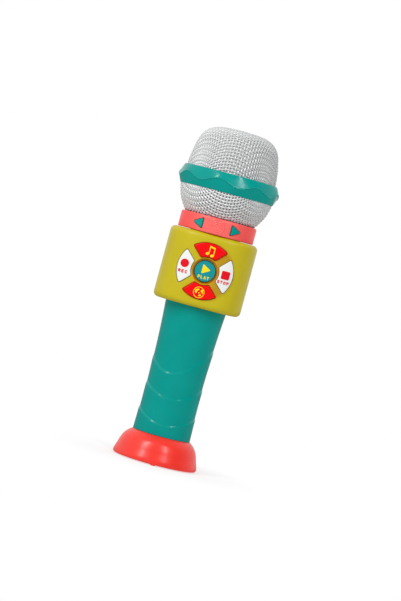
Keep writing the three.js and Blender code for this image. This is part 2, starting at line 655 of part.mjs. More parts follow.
// ---------------------------------------------------------------- collar and its buttons
function collarShell() {
  const bore = 15.5;
  const flange = { radius: 20.5, bottom: 160.8, top: BOX_TOP - BOX_END_WALL - GAP };
  return turned([
    [COLLAR_INNER, COLLAR_TOP], [COLLAR_INNER, COLLAR_FLOOR], [bore, COLLAR_FLOOR], [bore, flange.bottom],
    [flange.radius, flange.bottom], [flange.radius, flange.top], [COLLAR_NECK, flange.top],
    [COLLAR_NECK, BOX_TOP + GAP],
    ...quarter(COLLAR_RADIUS - 0.6, BOX_TOP + GAP + 0.6, 0.6, -Math.PI / 2, 2),
    ...quarter(COLLAR_RADIUS - 1.4, COLLAR_TOP - 1.4, 1.4, 0),
  ]);
}

// A rounded triangle pointing away from the front centre, grown by a margin.
function arrowShape(side, grow) {
  const { height, length, corner } = ARROW;
  const tip = side * (length / 2 - 1.3);
  const flat = -side * (length / 2 - corner);
  const centres = [[flat, height / 2 - corner], [flat, corner - height / 2], [tip, 0]];
  const shape = new THREE.Shape();
  const facing = side > 0 ? [90, 180, 300] : [90, 0, 240];
  const sweep = side > 0 ? [90, 120, 120] : [-90, -120, -120];
  centres.forEach(([x, z], i) => {
    const from = THREE.MathUtils.degToRad(facing[i]);
    const to = THREE.MathUtils.degToRad(facing[i] + sweep[i]);
    shape.absarc(x, z, corner + grow, from, to, side < 0);
  });
  shape.closePath();
  return shape;
}

// Turns a shape built at the front centre to its place round the collar.
const toArrow = (geometry, side) => geometry.rotateZ(side * ARROW_ANGLE);

function arrowPrism(side, grow, outer, inner) {
  return toArrow(prism(arrowShape(side, grow), -outer, -inner).translate(0, 0, ARROW_Z), side);
}

function arrowButton(side) {
  const proud = 0.6;
  const cap = common(arrowPrism(side, 0, 32, 23.8), disc(COLLAR_RADIUS + proud, 160, 180));
  const flange = arrowPrism(side, ARROW_GAP + 0.3, 24.4, 23.4);
  const plunger = toArrow(rodAlongY(1.4, 0, ARROW_DOME.z - 0.4, -24, -22.9), side);
  return join(cap, flange, plunger);
}

const windows = [-1, 1].map((side) => arrowPrism(side, ARROW_GAP, 32, 20));
addPiece('collar', cut(collarShell(), ...windows), plastic(CORAL));
addPiece('arrow_button_left', arrowButton(-1), plastic(TEAL, 0.3));
addPiece('arrow_button_right', arrowButton(1), plastic(TEAL, 0.3));
addPiece('arrow_board', block([-14, 14], [-17.2, -15.8], [169.3, 176.1]), plastic(BOARD_GREEN, 0.5));
for (const [name, side] of [['arrow_dome_left', -1], ['arrow_dome_right', 1]]) {
  const { x, z, base, top, size } = ARROW_DOME;
  addPiece(name, rubberDome(side * x, z, base, top, size), plastic(RUBBER, 0.8));
}

// ---------------------------------------------------------------- head
function headFrame() {
  return turned([
    [5, 166.5], [17.5, 166.5], [17.5, 168.5], [7, 168.5], [7, 199], [31.7, 199], [31.7, 201], [6.4, 201],
    [6.4, 214], [5, 214],
  ], 20);
}

function grilleLower() {
  const neck = COLLAR_INNER - 2 * GAP;
  const [bottom, rim, top] = [COLLAR_TOP - 1.3, COLLAR_TOP + GAP, 198.4];
  const bowl = smooth([[25.5, rim], [28.4, 180.8], [30.9, 185.4], [32.2, 189.8], [33, RING_BOTTOM - GAP]], 5);
  const inner = inset(bowl, GRILLE_WALL).slice(1, -1).reverse();
  return turned([
    [neck, bottom], [neck, rim], ...bowl, [SKIRT_RADIUS, RING_BOTTOM - 0.2], [SKIRT_RADIUS, top],
    [SKIRT_RADIUS - GRILLE_WALL, top], ...inner, [neck - GRILLE_WALL, rim], [neck - GRILLE_WALL, bottom],
  ]);
}

function grilleUpper() {
  const dome = smooth([
    [SKIRT_RADIUS, 203.5], [SKIRT_RADIUS, 209.4], [31.2, 216], [30.1, 222.3], [28.2, 229.2], [25.7, 233.5],
    [21.2, 237.1], [14, 239.2], [0, TOP_Z],
  ], 10);
  return turned([...dome, ...inset(dome, GRILLE_WALL).reverse()]);
}

// The ring's ridge rises and falls round the head.
function headRing() {
  const ring = turned([
    [RING_INNER, RING_BOTTOM], [33.4, RING_BOTTOM], [34.4, 196.9], [35.5, 199.3], [RIDGE_RADIUS, RIDGE_Z],
    [35.2, 203.8], [34.3, 206.2], [33.2, RING_TOP], [RING_INNER, RING_TOP],
  ], 6 * WAVES);
  const position = ring.attributes.position;
  const reach = (RING_TOP - RING_BOTTOM) / 2;
  for (let i = 0; i < position.count; i += 1) {
    const [x, y, z] = [position.getX(i), position.getY(i), position.getZ(i)];
    if (Math.hypot(x, y) < 33.5) continue;
    const swing = Math.cos(WAVES * (Math.atan2(y, x) - WAVE_START));
    const weight = Math.max(0, 1 - Math.abs(z - RIDGE_Z) / reach);
    position.setZ(i, z + WAVE_HEIGHT * swing * weight);
  }
  return ring;
}

function lamp(angle) {
  const body = turned([
    [0, 203.2], [2.9, 203.2], [2.9, 204.2], [2.5, 204.2], [2.5, 208.4], [1.8, 210.2], [0, 210.9],
  ], SMALL);
  return body.translate(LAMP_CIRCLE * Math.cos(angle), LAMP_CIRCLE * Math.sin(angle), 0);
}

const LAMPS = { red: ['#d8322c', -90], green: ['#2fae4e', 30], blue: ['#2f6fd8', 150] };
addPiece('head_frame', headFrame(), plastic(WHITE, 0.5));
addPiece('led_board', cut(disc(24, 201.3, 202.9, 24), disc(7, 200, 204, 12)), plastic(BOARD_GREEN, 0.5));
for (const [name, [color, degrees]] of Object.entries(LAMPS)) {
  addPiece(`led_${name}`, lamp(THREE.MathUtils.degToRad(degrees)), plastic(color, 0.15));
}
addPiece('mic_holder', turned([
  [0, 214.3], [7.4, 214.3], [7.4, 222], [5.2, 222], [5.2, 216.4], [0, 216.4],
], 16), plastic(DARK, 0.8));
addPiece('mic_capsule', turned([
  [0, 216.7], [4.85, 216.7], [4.85, 222.8], [4.4, 223.2], [0, 223.2],
], 16), metal('#b9babb'));
addPiece('grille_lower', grilleLower(), metal(SILVER, 0.5));
addPiece('grille_upper', grilleUpper(), metal(SILVER, 0.5));
addPiece('head_ring', headRing(), plastic(TEAL));

// ---------------------------------------------------------------- wiring
addPiece('wire_battery', wire([
  [-9, -1, 97], [-10, -3, 104], [-11, -5, 114], [-12, -9, 121], [-12, BOARD_BACK + 1.2, 124],
]), plastic('#c62a22', 0.6));
addPiece('wire_speaker', wire([
  [13, BOARD_BACK + 1.2, 130], [15, -6, 127.5], [16, 4, 127], [15.4, 12, 128], [14.2, 15.7, 128.6],
]), plastic(DARK, 0.6));
addPiece('wire_microphone', wire([
  [0, BOARD_BACK + 1.2, 156.5], [0, -9, 160.5], [0, -2, 166], [0, 0, 176], [0, 0, 195], [0, 0, 213.5],
]), plastic('#d8d8d4', 0.6));

export default microphone;
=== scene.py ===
# A toy microphone: finished meshes, materials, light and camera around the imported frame.
# Shapes are worked out in millimetres and scaled to metres when a piece is added.
import math

import bmesh
import bpy
import numpy as np
from mathutils import Matrix, Vector
from mathutils.bvhtree import BVHTree
from mathutils.geometry import delaunay_2d_cdt


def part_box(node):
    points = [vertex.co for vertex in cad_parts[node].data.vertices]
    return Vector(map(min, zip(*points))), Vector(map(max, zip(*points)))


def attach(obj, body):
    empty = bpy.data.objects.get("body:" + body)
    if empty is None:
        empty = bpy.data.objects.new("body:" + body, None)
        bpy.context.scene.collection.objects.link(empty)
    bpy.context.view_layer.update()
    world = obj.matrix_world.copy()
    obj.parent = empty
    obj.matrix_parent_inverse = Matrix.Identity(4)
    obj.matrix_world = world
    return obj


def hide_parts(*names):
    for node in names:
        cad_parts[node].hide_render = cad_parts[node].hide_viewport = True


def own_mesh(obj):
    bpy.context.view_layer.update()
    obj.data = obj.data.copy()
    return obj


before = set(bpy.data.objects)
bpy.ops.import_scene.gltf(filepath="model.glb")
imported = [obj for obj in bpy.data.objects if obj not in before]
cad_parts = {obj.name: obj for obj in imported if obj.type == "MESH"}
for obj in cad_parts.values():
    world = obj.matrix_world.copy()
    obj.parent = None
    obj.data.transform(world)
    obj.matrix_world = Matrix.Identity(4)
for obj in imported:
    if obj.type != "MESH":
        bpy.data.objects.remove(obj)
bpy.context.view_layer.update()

MM = 0.001
TAU = 2 * math.pi
BODY = "body"


def corners(node):
    """A CAD node's lowest and highest corners, in millimetres."""
    low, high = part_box(node)
    return np.array(low) / MM, np.array(high) / MM


def middle_of(node):
    return sum(corners(node)) / 2


# ------------------------------------------------------------ stations and sizes
GAP = 0.3
WALL = 2.0
FAR = 60.0  # well clear of the object in plan
HEIGHTS = (-1, 200)  # takes in the handle and the box
BASE_TOP = corners("base_foot")[1][2]
BOX_BOTTOM = corners("housing_front")[0][2]
BOX_TOP = corners("housing_front")[1][2]
BOX_HALF_WIDTH = corners("housing_front")[1][0]
BOX_HALF_DEPTH = -corners("housing_front")[0][1]
BOX_SQUARENESS = 2.6
BOX_EDGE = 3.5
BOX_END_WALL = 2.2
WALL_BEHIND = -18.0  # y where cutters for the front wall stop
NECK_HOLE = 19.2
COLLAR_TOP = corners("collar")[1][2]
COLLAR_RADIUS = corners("collar")[1][0]
COLLAR_BOTTOM = BOX_TOP + GAP
COLLAR_HOLE = 18.3
RING_BOTTOM = corners("head_ring")[0][2]
RING_TOP = corners("head_ring")[1][2]
RIDGE_RADIUS = corners("head_ring")[1][0]
RIDGE_Z = 201.2
TOP_Z = corners("grille_upper")[1][2]
SKIRT_RADIUS = 32.0

CLUSTER_Z = sum(corners("play_button")[i][2] for i in (0, 1)) / 2
CLUSTER = (0.0, CLUSTER_Z)
CLUSTER_OUTER = 19.6
CLUSTER_INNER = 10.0
ARM_HALF = 2.65
PLAY_RADIUS = 7.15
BUTTON_BACK = corners("song_button")[1][1]
SCREW_SEAT = 14.2
BUTTON_PROUD = 1.0
BUTTON_CENTRE = 15.0  # from the cluster's middle to a sector button's


# ------------------------------------------------------------ mesh helpers
def tidy(mesh, merge=1e-4, clean=True):
    """Turns the faces outwards, after merging points that meet."""
    bm = bmesh.new()
    bm.from_mesh(mesh)
    if clean:
        bmesh.ops.remove_doubles(bm, verts=bm.verts, dist=merge)
        bmesh.ops.dissolve_degenerate(bm, dist=1e-5, edges=bm.edges)
    bmesh.ops.recalc_face_normals(bm, faces=bm.faces)
    bm.to_mesh(mesh)
    bm.free()
    return mesh


def mesh_of(verts, faces, clean=True):
    mesh = bpy.data.meshes.new("shape")
    mesh.from_pydata(np.asarray(verts, float).tolist(), [], faces)
    return tidy(mesh, clean=clean)


def solid_faces(rows, columns, wrap=False, caps=True):
    """The faces of a solid through closed loops of points, with its ends capped or joined to each other."""
    faces = []
    for i in range(rows if wrap else rows - 1):
        low, high = i * columns, ((i + 1) % rows) * columns
        for near in range(columns):
            far = (near + 1) % columns
            faces.append((low + near, low + far, high + far, high + near))
    if caps and not wrap:
        faces += [tuple(range(columns)), tuple(range((rows - 1) * columns, rows * columns))]
    return faces


def loft(loops, wrap=False, caps=True):
    """A closed solid through closed loops of points; wrap joins the last loop to the first."""
    loops = np.array(loops, float)
    return mesh_of(loops.reshape(-1, 3), solid_faces(*loops.shape[:2], wrap, caps))


def circle(radius, z, angles):
    """Points at these angles; the radius and the height can each be one number or vary with the angle."""
    return np.stack([radius * np.cos(angles), radius * np.sin(angles), np.zeros_like(angles) + z], 1)


def turned(profile, steps=96):
    """A solid of revolution about Z from (radius, z) points that close, or start and end on the axis."""
    angles = np.arange(steps) / steps * TAU
    on_axis = profile[0][0] == 0 and profile[-1][0] == 0
    return loft([circle(r, z, angles) for r, z in profile], wrap=not on_axis, caps=False)


def moved(mesh, matrix):
    mesh = mesh.copy()
    mesh.transform(matrix)
    if matrix.determinant() < 0:
        mesh.flip_normals()
    return mesh


def turned_along_y(profile, x, z, steps=48):
    """The same from (radius, y) points, about a line parallel to Y."""
    place = Matrix.Translation((x, 0, z)) @ Matrix.Rotation(-math.pi / 2, 4, "X")
    return moved(turned(profile, steps), place)


def rod_y(radius, x, z, front, back, steps=40):
    return turned_along_y([(0, front), (radius, front), (radius, back), (0, back)], x, z, steps)


def block(x, y, z):
    verts = [(x[i], y[j], z[k]) for i in (0, 1) for j in (0, 1) for k in (0, 1)]
    faces = [(0, 1, 3, 2), (4, 6, 7, 5), (0, 4, 5, 1), (2, 3, 7, 6), (0, 2, 6, 4), (1, 5, 7, 3)]
    return mesh_of(verts, faces)


def combine(mesh, others, operation):
    """Joins, cuts or keeps the common part of closed meshes."""
    target = bpy.data.objects.new("target", mesh)
    bpy.context.scene.collection.objects.link(target)
    for other in others:
        tool = bpy.data.objects.new("tool", other)
        bpy.context.scene.collection.objects.link(tool)
        step = target.modifiers.new("step", "BOOLEAN")
        step.operation = operation
        step.solver = "EXACT"
        step.object = tool
        result = bpy.data.meshes.new_from_object(target.evaluated_get(bpy.context.evaluated_depsgraph_get()))
        target.modifiers.clear()
        target.data = result
        bpy.data.objects.remove(tool)
    bpy.data.objects.remove(target)
    return tidy(result, 1e-3)


def cut(mesh, *tools):
    return combine(mesh, tools, "DIFFERENCE")


def join(mesh, *others):
    return combine(mesh, others, "UNION")


def common(mesh, *others):
    return combine(mesh, others, "INTERSECT")


def together(*meshes):
    """Several closed shells as one mesh, without a boolean."""
    bm = bmesh.new()
    for mesh in meshes:
        bm.from_mesh(mesh)
    mesh = bpy.data.meshes.new("shape")
    bm.to_mesh(mesh)
    bm.free()
    return mesh


def bend(start, point, end, steps):
    """A curve from start to end that leaves and arrives in the direction of a point."""
    t = np.linspace(0, 1, steps + 1)[:, None]
    return (1 - t) ** 2 * start + 2 * t * (1 - t) * point + t * t * end


def soften(points, reach, steps=4, closed=True):
    """Rounds each corner of an outline; reach is how far the round runs along each side."""
    points = [np.array(p, float) for p in points]
    count = len(points)
    result = []
    for i, point in enumerate(points):
        amount = reach[i] if isinstance(reach, (list, tuple)) else reach
        if amount == 0 or (not closed and i in (0, count - 1)):
            result.append(point)
            continue
        before, after = points[i - 1], points[(i + 1) % count]
        size = min(amount, 0.49 * np.linalg.norm(before - point), 0.49 * np.linalg.norm(after - point))
        start = point + size * (before - point) / np.linalg.norm(before - point)
        end = point + size * (after - point) / np.linalg.norm(after - point)
        result += list(bend(start, point, end, steps))
    return [tuple(map(float, p)) for p in result]


def spline(points, count):
    """Points along the uniform Catmull-Rom curve through a few (radius, z) points."""
    points = np.array(points, float)
    place = np.linspace(0, len(points) - 1, count + 1)
    index = np.minimum(place.astype(int), len(points) - 2)
    t = (place - index)[:, None]
    p0, p1 = points[np.where(index == 0, 0, index - 1)], points[index]
    p2, p3 = points[index + 1], points[np.minimum(index + 2, len(points) - 1)]
    v0, v1 = (p2 - p0) / 2, (p3 - p1) / 2
    return (2 * p1 - 2 * p2 + v0 + v1) * t**3 + (3 * p2 - 3 * p1 - 2 * v0 - v1) * t**2 + v0 * t + p1


def inset(profile, depth):
    """The profile moved to the left of its own direction; points on the axis stay on it."""
    tangent = np.gradient(profile, axis=0)
    tangent /= np.linalg.norm(tangent, axis=1)[:, None]
    moved_in = profile + depth * np.stack([-tangent[:, 1], tangent[:, 0]], 1)
    moved_in[profile[:, 0] == 0, 0] = 0
    return moved_in


def add_piece(name, mesh, material, node=None, body=BODY, sharp=32):
    """Scales a finished mesh to metres, shades it and puts it on its body, in place of a CAD node.
    """
    mesh = mesh.copy()
    mesh.name = name
    mesh.transform(Matrix.Scale(MM, 4))
    mesh.materials.clear()
    mesh.materials.append(material)
    mesh.shade_smooth()
    mesh.set_sharp_from_angle(angle=math.radians(sharp))
    piece = bpy.data.objects.new(name, mesh)
    bpy.context.scene.collection.objects.link(piece)
    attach(piece, body)
    if node:
        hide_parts(node)
    return piece


# ------------------------------------------------------------ materials
def srgb(red, green, blue):
    """An 8-bit display colour as linear light."""
    def linear(value):
        value /= 255
        return value / 12.92 if value <= 0.04045 else ((value + 0.055) / 1.055) ** 2.4
    return (linear(red), linear(green), linear(blue), 1.0)


class Nodes:
    """A node tree, with short ways to add and join nodes."""

    def __init__(self, tree):
        self.tree = tree

    def feed(self, socket, value):
        if isinstance(value, bpy.types.NodeSocket):
            self.tree.links.new(value, socket)
        else:
            socket.default_value = value

    def add(self, kind, inputs=None, **settings):
        node = self.tree.nodes.new(kind)
        for key, value in settings.items():
            setattr(node, key, value)
        for key, value in (inputs or {}).items():
            self.feed(node.inputs[key], value)
        return node

    def axis(self, vector, name):
        return self.add("ShaderNodeSeparateXYZ", {"Vector": vector}).outputs[name]

    def sum(self, operation, *values):
        return self.add("ShaderNodeMath", dict(enumerate(values)), operation=operation).outputs[0]

    def length(self, vector):
        return self.add("ShaderNodeVectorMath", {0: vector}, operation="LENGTH").outputs["Value"]

    def span(self, value, low, high, start=0.3, end=0.7):
        inputs = {"Value": value, "From Min": start, "From Max": end, "To Min": low, "To Max": high}
        return self.add("ShaderNodeMapRange", inputs).outputs["Result"]

    def mix(self, factor, first, second):
        """Between two colours; the sockets are numbered because the node has one set for each type."""
        return self.add("ShaderNodeMix", {0: factor, 6: first, 7: second}, data_type="RGBA").outputs[2]

    def blend(self, factor, first, second):
        """Between two numbers."""
        return self.add("ShaderNodeMix", {0: factor, 2: first, 3: second}, data_type="FLOAT").outputs[0]


class Paint(Nodes):
    """A new material."""

    def __init__(self, name):
        self.material = bpy.data.materials.new(name)
        self.material.use_nodes = True
        super().__init__(self.material.node_tree)
        self.shader = self.tree.nodes["Principled BSDF"]

    def set(self, **inputs):
        for key, value in inputs.items():
            self.feed(self.shader.inputs[key.replace("_", " ")], value)

    def place(self):
        return self.add("ShaderNodeTexCoord").outputs["Object"]

    def noise(self, scale, detail=3.0, roughness=0.5):
        inputs = {"Vector": self.place(), "Scale": scale, "Detail": detail, "Roughness": roughness}
        return self.add("ShaderNodeTexNoise", inputs).outputs["Fac"]

    def bump(self, height, distance, strength=1.0):
        inputs = {"Height": height, "Distance": distance, "Strength": strength}
        return self.add("ShaderNodeBump", inputs).outputs["Normal"]


def shade(color, factor):
    return tuple(min(1.0, c * factor) for c in color[:3]) + (1.0,)


def plastic(name, color, roughness=0.34, specular=0.4, variation=0.05, tint=None):
    """Moulded plastic: faint flow mottling, fine surface grain and convex edges made a little lighter."""
    nodes = Paint(name)
    mottle = nodes.span(nodes.noise(55.0, 4.0), 0.0, 1.0)
    body = nodes.mix(mottle, shade(color, 1 - variation), shade(color, 1 + variation))
    specks = nodes.span(nodes.noise(900.0, 2.0), 0.0, 0.06, 0.62, 0.8)
    body = nodes.mix(specks, body, shade(color, 0.6))
    edge = nodes.add("ShaderNodeNewGeometry").outputs["Pointiness"]
    # Convex edges, found by pointiness, are made a little lighter.
    lighter_edges = nodes.span(edge, 0.0, 0.25, 0.52, 0.62)
    body = nodes.mix(lighter_edges, body, shade(color, 1.25))
    if tint:
        body = tint(nodes, body)
    rough = nodes.span(nodes.noise(140.0, 5.0, 0.6), roughness - 0.04, roughness + 0.05)
    peel = nodes.noise(1500.0, 2.0)
    nodes.set(Base_Color=body, Roughness=rough, Specular_IOR_Level=specular,
              Normal=nodes.bump(peel, 0.00002, 0.5))
    return nodes.material


def warm_dish(nodes, body):
    """Warm light that the red buttons and the dish throw on the frame between them."""
    across = nodes.axis(nodes.place(), "X")
    up = nodes.sum("SUBTRACT", nodes.axis(nodes.place(), "Z"), CLUSTER_Z * MM)
    away = nodes.length(nodes.add("ShaderNodeCombineXYZ", {"X": across, "Y": up}).outputs[0])
    in_front = nodes.span(nodes.axis(nodes.place(), "Y"), 1.0, 0.0, -0.0262, -0.0245)
    dish = nodes.sum("MULTIPLY", nodes.span(away, 1.0, 0.0, 0.0088, 0.0096), in_front)
    right = nodes.span(across, 0.0, 0.6, 0.001, 0.009)
    arms = nodes.sum("MULTIPLY", nodes.span(away, 1.0, 0.0, 0.0185, 0.0215), right)
    arms = nodes.sum("MULTIPLY", arms, in_front)
    body = nodes.mix(arms, body, srgb(180, 112, 0))
    return nodes.mix(dish, body, srgb(232, 142, 16))


def collar_light_and_shade(nodes, body):
    """Painted light and shade: the collar's colour is paler at its front middle and deepens towards its
    sides.
    """
    aside = nodes.sum("ABSOLUTE", nodes.axis(nodes.place(), "X"))
    return nodes.mix(nodes.span(aside, 0.0, 0.85, 0.012, 0.024), body, srgb(250, 66, 62))


def silver_paint(name, low, high):
    """Silver painted mesh: metallic flake between two greys, with painted shade in the hollows between wires.
    """
    nodes = Paint(name)
    flake = nodes.span(nodes.noise(2600.0, 2.0), 0.0, 1.0)
    body = nodes.mix(flake, srgb(low, low + 1, low + 2), srgb(high, high + 1, high + 1))
    # Painted shade: an ambient occlusion mask greys the colour in the hollows between the wires.
    hollow = nodes.add("ShaderNodeAmbientOcclusion", {"Distance": 0.0014}, samples=8).outputs["AO"]
    body = nodes.mix(nodes.span(hollow, 1.0, 0.0, 0.2, 0.8), body, srgb(190, 191, 192))
    rough = nodes.span(nodes.noise(300.0, 3.0), 0.46, 0.58)
    nodes.set(Base_Color=body, Metallic=0.5, Roughness=rough, Normal=nodes.bump(flake, 0.00001, 0.4))
    return nodes.material


def plated(name, color, roughness=0.3):
    """Plated steel: streaked roughness and a faint bloom."""
    nodes = Paint(name)
    streak = nodes.span(nodes.noise(700.0, 6.0, 0.7), 0.0, 1.0)
    body = nodes.mix(streak, shade(color, 0.85), shade(color, 1.1))
    rough = nodes.span(nodes.noise(420.0, 5.0), roughness - 0.08, roughness + 0.12)
    nodes.set(Base_Color=body, Metallic=1.0, Roughness=rough, Normal=nodes.bump(streak, 0.00001, 0.4))
    return nodes.material


def rubber(name, color, roughness=0.7):
    """Soft rubber: matt with fine dusting."""
    nodes = Paint(name)
    dust = nodes.span(nodes.noise(800.0, 6.0, 0.7), 0.0, 1.0)
    body = nodes.mix(dust, shade(color, 0.85), shade(color, 1.15))
    nodes.set(Base_Color=body, Roughness=roughness, Normal=nodes.bump(dust, 0.00002, 0.5))
    return nodes.material


def circuit_board(name):
    """Green solder mask over copper tracks, from a grid of thin lines broken up by noise."""
    nodes = Paint(name)
    cells = nodes.add("ShaderNodeTexBrick", {
        "Vector": nodes.place(), "Scale": 160.0, "Mortar Size": 0.03,
        "Color1": (0, 0, 0, 1), "Color2": (0, 0, 0, 1), "Mortar": (1, 1, 1, 1)})
    track = nodes.add("ShaderNodeRGBToBW", {"Color": cells.outputs["Color"]}).outputs["Val"]
    body = nodes.mix(track, srgb(24, 92, 52), srgb(60, 140, 84))
    body = nodes.mix(nodes.span(nodes.noise(300.0), 0.0, 0.4), body, srgb(14, 66, 36))
    nodes.set(Base_Color=body, Roughness=0.32, Coat_Weight=0.4, Normal=nodes.bump(track, 0.00003, 0.8))
    return nodes.material


def clear_lens(name, color):
    """Tinted epoxy of an indicator lamp."""
    nodes = Paint(name)
    body = nodes.mix(nodes.span(nodes.noise(500.0), 0.0, 1.0), shade(color, 0.9), shade(color, 1.1))
    nodes.set(Base_Color=body, Roughness=0.08, Transmission_Weight=0.5, IOR=1.5)
    return nodes.material


def cell_wrap():
    """Printed foil round a cell: a dark band over a lighter one, with a seam of fine scratches."""
    nodes = Paint("cell_wrap")
    band = nodes.span(nodes.axis(nodes.place(), "Z"), 0.0, 1.0, 0.0760, 0.0762)
    scratch = nodes.span(nodes.noise(900.0, 8.0, 0.7), 0.0, 0.2)
    body = nodes.mix(band, srgb(58, 62, 70), srgb(196, 160, 70))
    body = nodes.mix(scratch, body, srgb(150, 150, 150))
    nodes.set(Base_Color=body, Metallic=0.6, Roughness=0.3)
    return nodes.material


def paper_cone():
    nodes = Paint("cone_paper")
    fibre = nodes.span(nodes.noise(1200.0, 8.0, 0.8), 0.0, 1.0)
    body = nodes.mix(fibre, srgb(30, 30, 32), srgb(54, 53, 52))
    nodes.set(Base_Color=body, Roughness=0.9, Normal=nodes.bump(fibre, 0.00006, 0.8))
    return nodes.material


CORAL = plastic("coral_plastic", srgb(247, 52, 40), 0.3, specular=0.5)
TEAL = plastic("teal_plastic", srgb(0, 150, 141), 0.17, specular=0.2)
LIME = plastic("lime_plastic", srgb(196, 180, 6), 0.4, specular=0.35, tint=warm_dish)
RED = plastic("red_plastic", srgb(242, 0, 6), 0.3, specular=0.2)
# Painted light and shade: the collar's pale coral deepens towards its sides through its tint.
PALE_CORAL = plastic("coral_collar", srgb(252, 102, 98), 0.36, tint=collar_light_and_shade)
WHITE = plastic("white_plastic", srgb(236, 238, 235), 0.32, variation=0.015)
PLAY_TEAL = plastic("play_plastic", srgb(0, 146, 150), 0.3)
PRINT_YELLOW = plastic("print_yellow", srgb(250, 222, 0), 0.4, variation=0.02)
PRINT_RED = plastic("print_red", srgb(226, 0, 26), 0.4, specular=0.2, variation=0.02)
BLACK = plastic("black_plastic", srgb(40, 41, 44), 0.5)
INNER_WHITE = plastic("inner_white", srgb(232, 233, 228), 0.5)
# Painted light: the bowl's silver is a lighter copy of the dome's. It stands in for light on the bowl, which
# faces down.
SILVER = {"upper": silver_paint("silver_dome", 204, 224), "lower": silver_paint("silver_bowl", 230, 246)}
STEEL = plated("screw_steel", srgb(176, 178, 180), 0.32)
BRIGHT = plated("spring_steel", srgb(214, 215, 216), 0.22)
GREY_RUBBER = rubber("grey_rubber", srgb(142, 144, 146))
DARK_RUBBER = rubber("dark_rubber", srgb(30, 30, 32))
BOARD = circuit_board("board_laminate")


# ------------------------------------------------------------ control box
def superellipse(offset, z, count=240):
    """A ring of the box's plan, at a height."""
    angles = np.arange(count) / count * TAU
    power = 2 / BOX_SQUARENESS
    c, s = np.cos(angles), np.sin(angles)
    x = (BOX_HALF_WIDTH + offset) * np.sign(c) * np.abs(c) ** power
    y = (BOX_HALF_DEPTH + offset) * np.sign(s) * np.abs(s) ** power
    return np.stack([x, y, np.full(count, z)], 1)


def box_face(x, offset=0.0):
    """How far out the box's side is at x, before the sign of y."""
    share = np.clip(np.abs(x) / (BOX_HALF_WIDTH + offset), 0, 1)
    return (BOX_HALF_DEPTH + offset) * (1 - share**BOX_SQUARENESS) ** (1 / BOX_SQUARENESS)


def box_front(x, z):
    return -box_face(x)


def box_shell(count=240):
    """The box's wall, with rounded edges and a round opening at each end."""
    angles = np.arange(count) / count * TAU
    low, high = BOX_BOTTOM + BOX_END_WALL, BOX_TOP - BOX_END_WALL
    flat = BOX_EDGE + 2.5
    loops = [circle(COLLAR_HOLE, BOX_TOP, angles), superellipse(-flat, BOX_TOP)]
    quarter = np.linspace(0, math.pi / 2, 9)
    rounds = [(BOX_EDGE * (1 - math.sin(a)), BOX_EDGE * (1 - math.cos(a))) for a in quarter]
    loops += [superellipse(-aside, BOX_TOP - down) for aside, down in rounds]
    loops += [superellipse(0, z) for z in np.linspace(BOX_TOP - BOX_EDGE, BOX_BOTTOM + BOX_EDGE, 26)[1:-1]]
    loops += [superellipse(-aside, BOX_BOTTOM + up) for aside, up in rounds[::-1]]
    loops.append(superellipse(-flat, BOX_BOTTOM))
    loops += [circle(NECK_HOLE, z, angles) for z in (BOX_BOTTOM, low)]
    loops += [superellipse(-WALL, z) for z in np.linspace(low, high, 8)] + [circle(COLLAR_HOLE, high, angles)]
    return loft(loops, wrap=True)


def sector_outline(grow=0.0, inner_grow=None, corner=1.0):
    """The outline of one cluster sector that points up, with rounded corners, as (x, z) points."""
    inner_grow = grow if inner_grow is None else inner_grow
    outer, inner, half = CLUSTER_OUTER + grow, CLUSTER_INNER - inner_grow, ARM_HALF - grow
    diagonal = np.array([math.cos(math.pi / 4), math.sin(math.pi / 4)])
    aside = np.array([-diagonal[1], diagonal[0]])
    reach = max(corner + grow * 0.5, 0.25)

    def on_arc(radius, pull):
        angle = math.pi / 4 + math.asin(half / radius) + pull / radius
        return np.array([radius * math.cos(angle), radius * math.sin(angle)])

    def on_side(radius, pull):
        return diagonal * (math.sqrt(radius**2 - half**2) + pull) + aside * half

    right = np.vstack([
        bend(on_arc(inner, reach), on_arc(inner, 0), on_side(inner, reach), 6),
        np.linspace(on_side(inner, reach), on_side(outer, -reach), 12)[1:-1],
        bend(on_side(outer, -reach), on_arc(outer, 0), on_arc(outer, reach), 6),
    ])
    left = right[::-1] * (-1, 1)

    def arc(radius, start, end, count):
        angles = np.linspace(math.atan2(start[1], start[0]), math.atan2(end[1], end[0]), count)[1:-1]
        return np.stack([radius * np.cos(angles), radius * np.sin(angles)], 1)

    return np.vstack([right, arc(outer, right[-1], left[0], 26), left, arc(inner, left[-1], right[0], 14)])


def to_loop(outline, turn, y_of, centre=(0.0, 0.0)):
    """An (x, z) outline, turned in the cluster, as points on a surface y_of(x, z)."""
    c, s = math.cos(turn), math.sin(turn)
    x = outline[:, 0] * c - outline[:, 1] * s + centre[0]
    z = outline[:, 0] * s + outline[:, 1] * c + centre[1]
    return np.stack([x, y_of(x, z), z], 1)


SECTORS = {"song": 0.0, "record": math.pi / 2, "globe": math.pi, "stop": -math.pi / 2}


def flat_at(y):
    return lambda x, z: np.full_like(x, y)


def flared_hole(outline_at, turn, centre, surface, back, gap=GAP):
    """A cutter whose mouth opens out over the last fraction of a millimetre."""
    loops = []
    for flare, depth in ((0.32, -3.0), (0.32, 0.0), (0.14, 0.1), (0.03, 0.3), (0.0, 0.6)):
        loops.append(to_loop(outline_at(gap + flare), turn, lambda x, z: surface(x, z) + depth, centre))
    loops.append(to_loop(outline_at(gap), turn, flat_at(back), centre))
    return loft(loops)


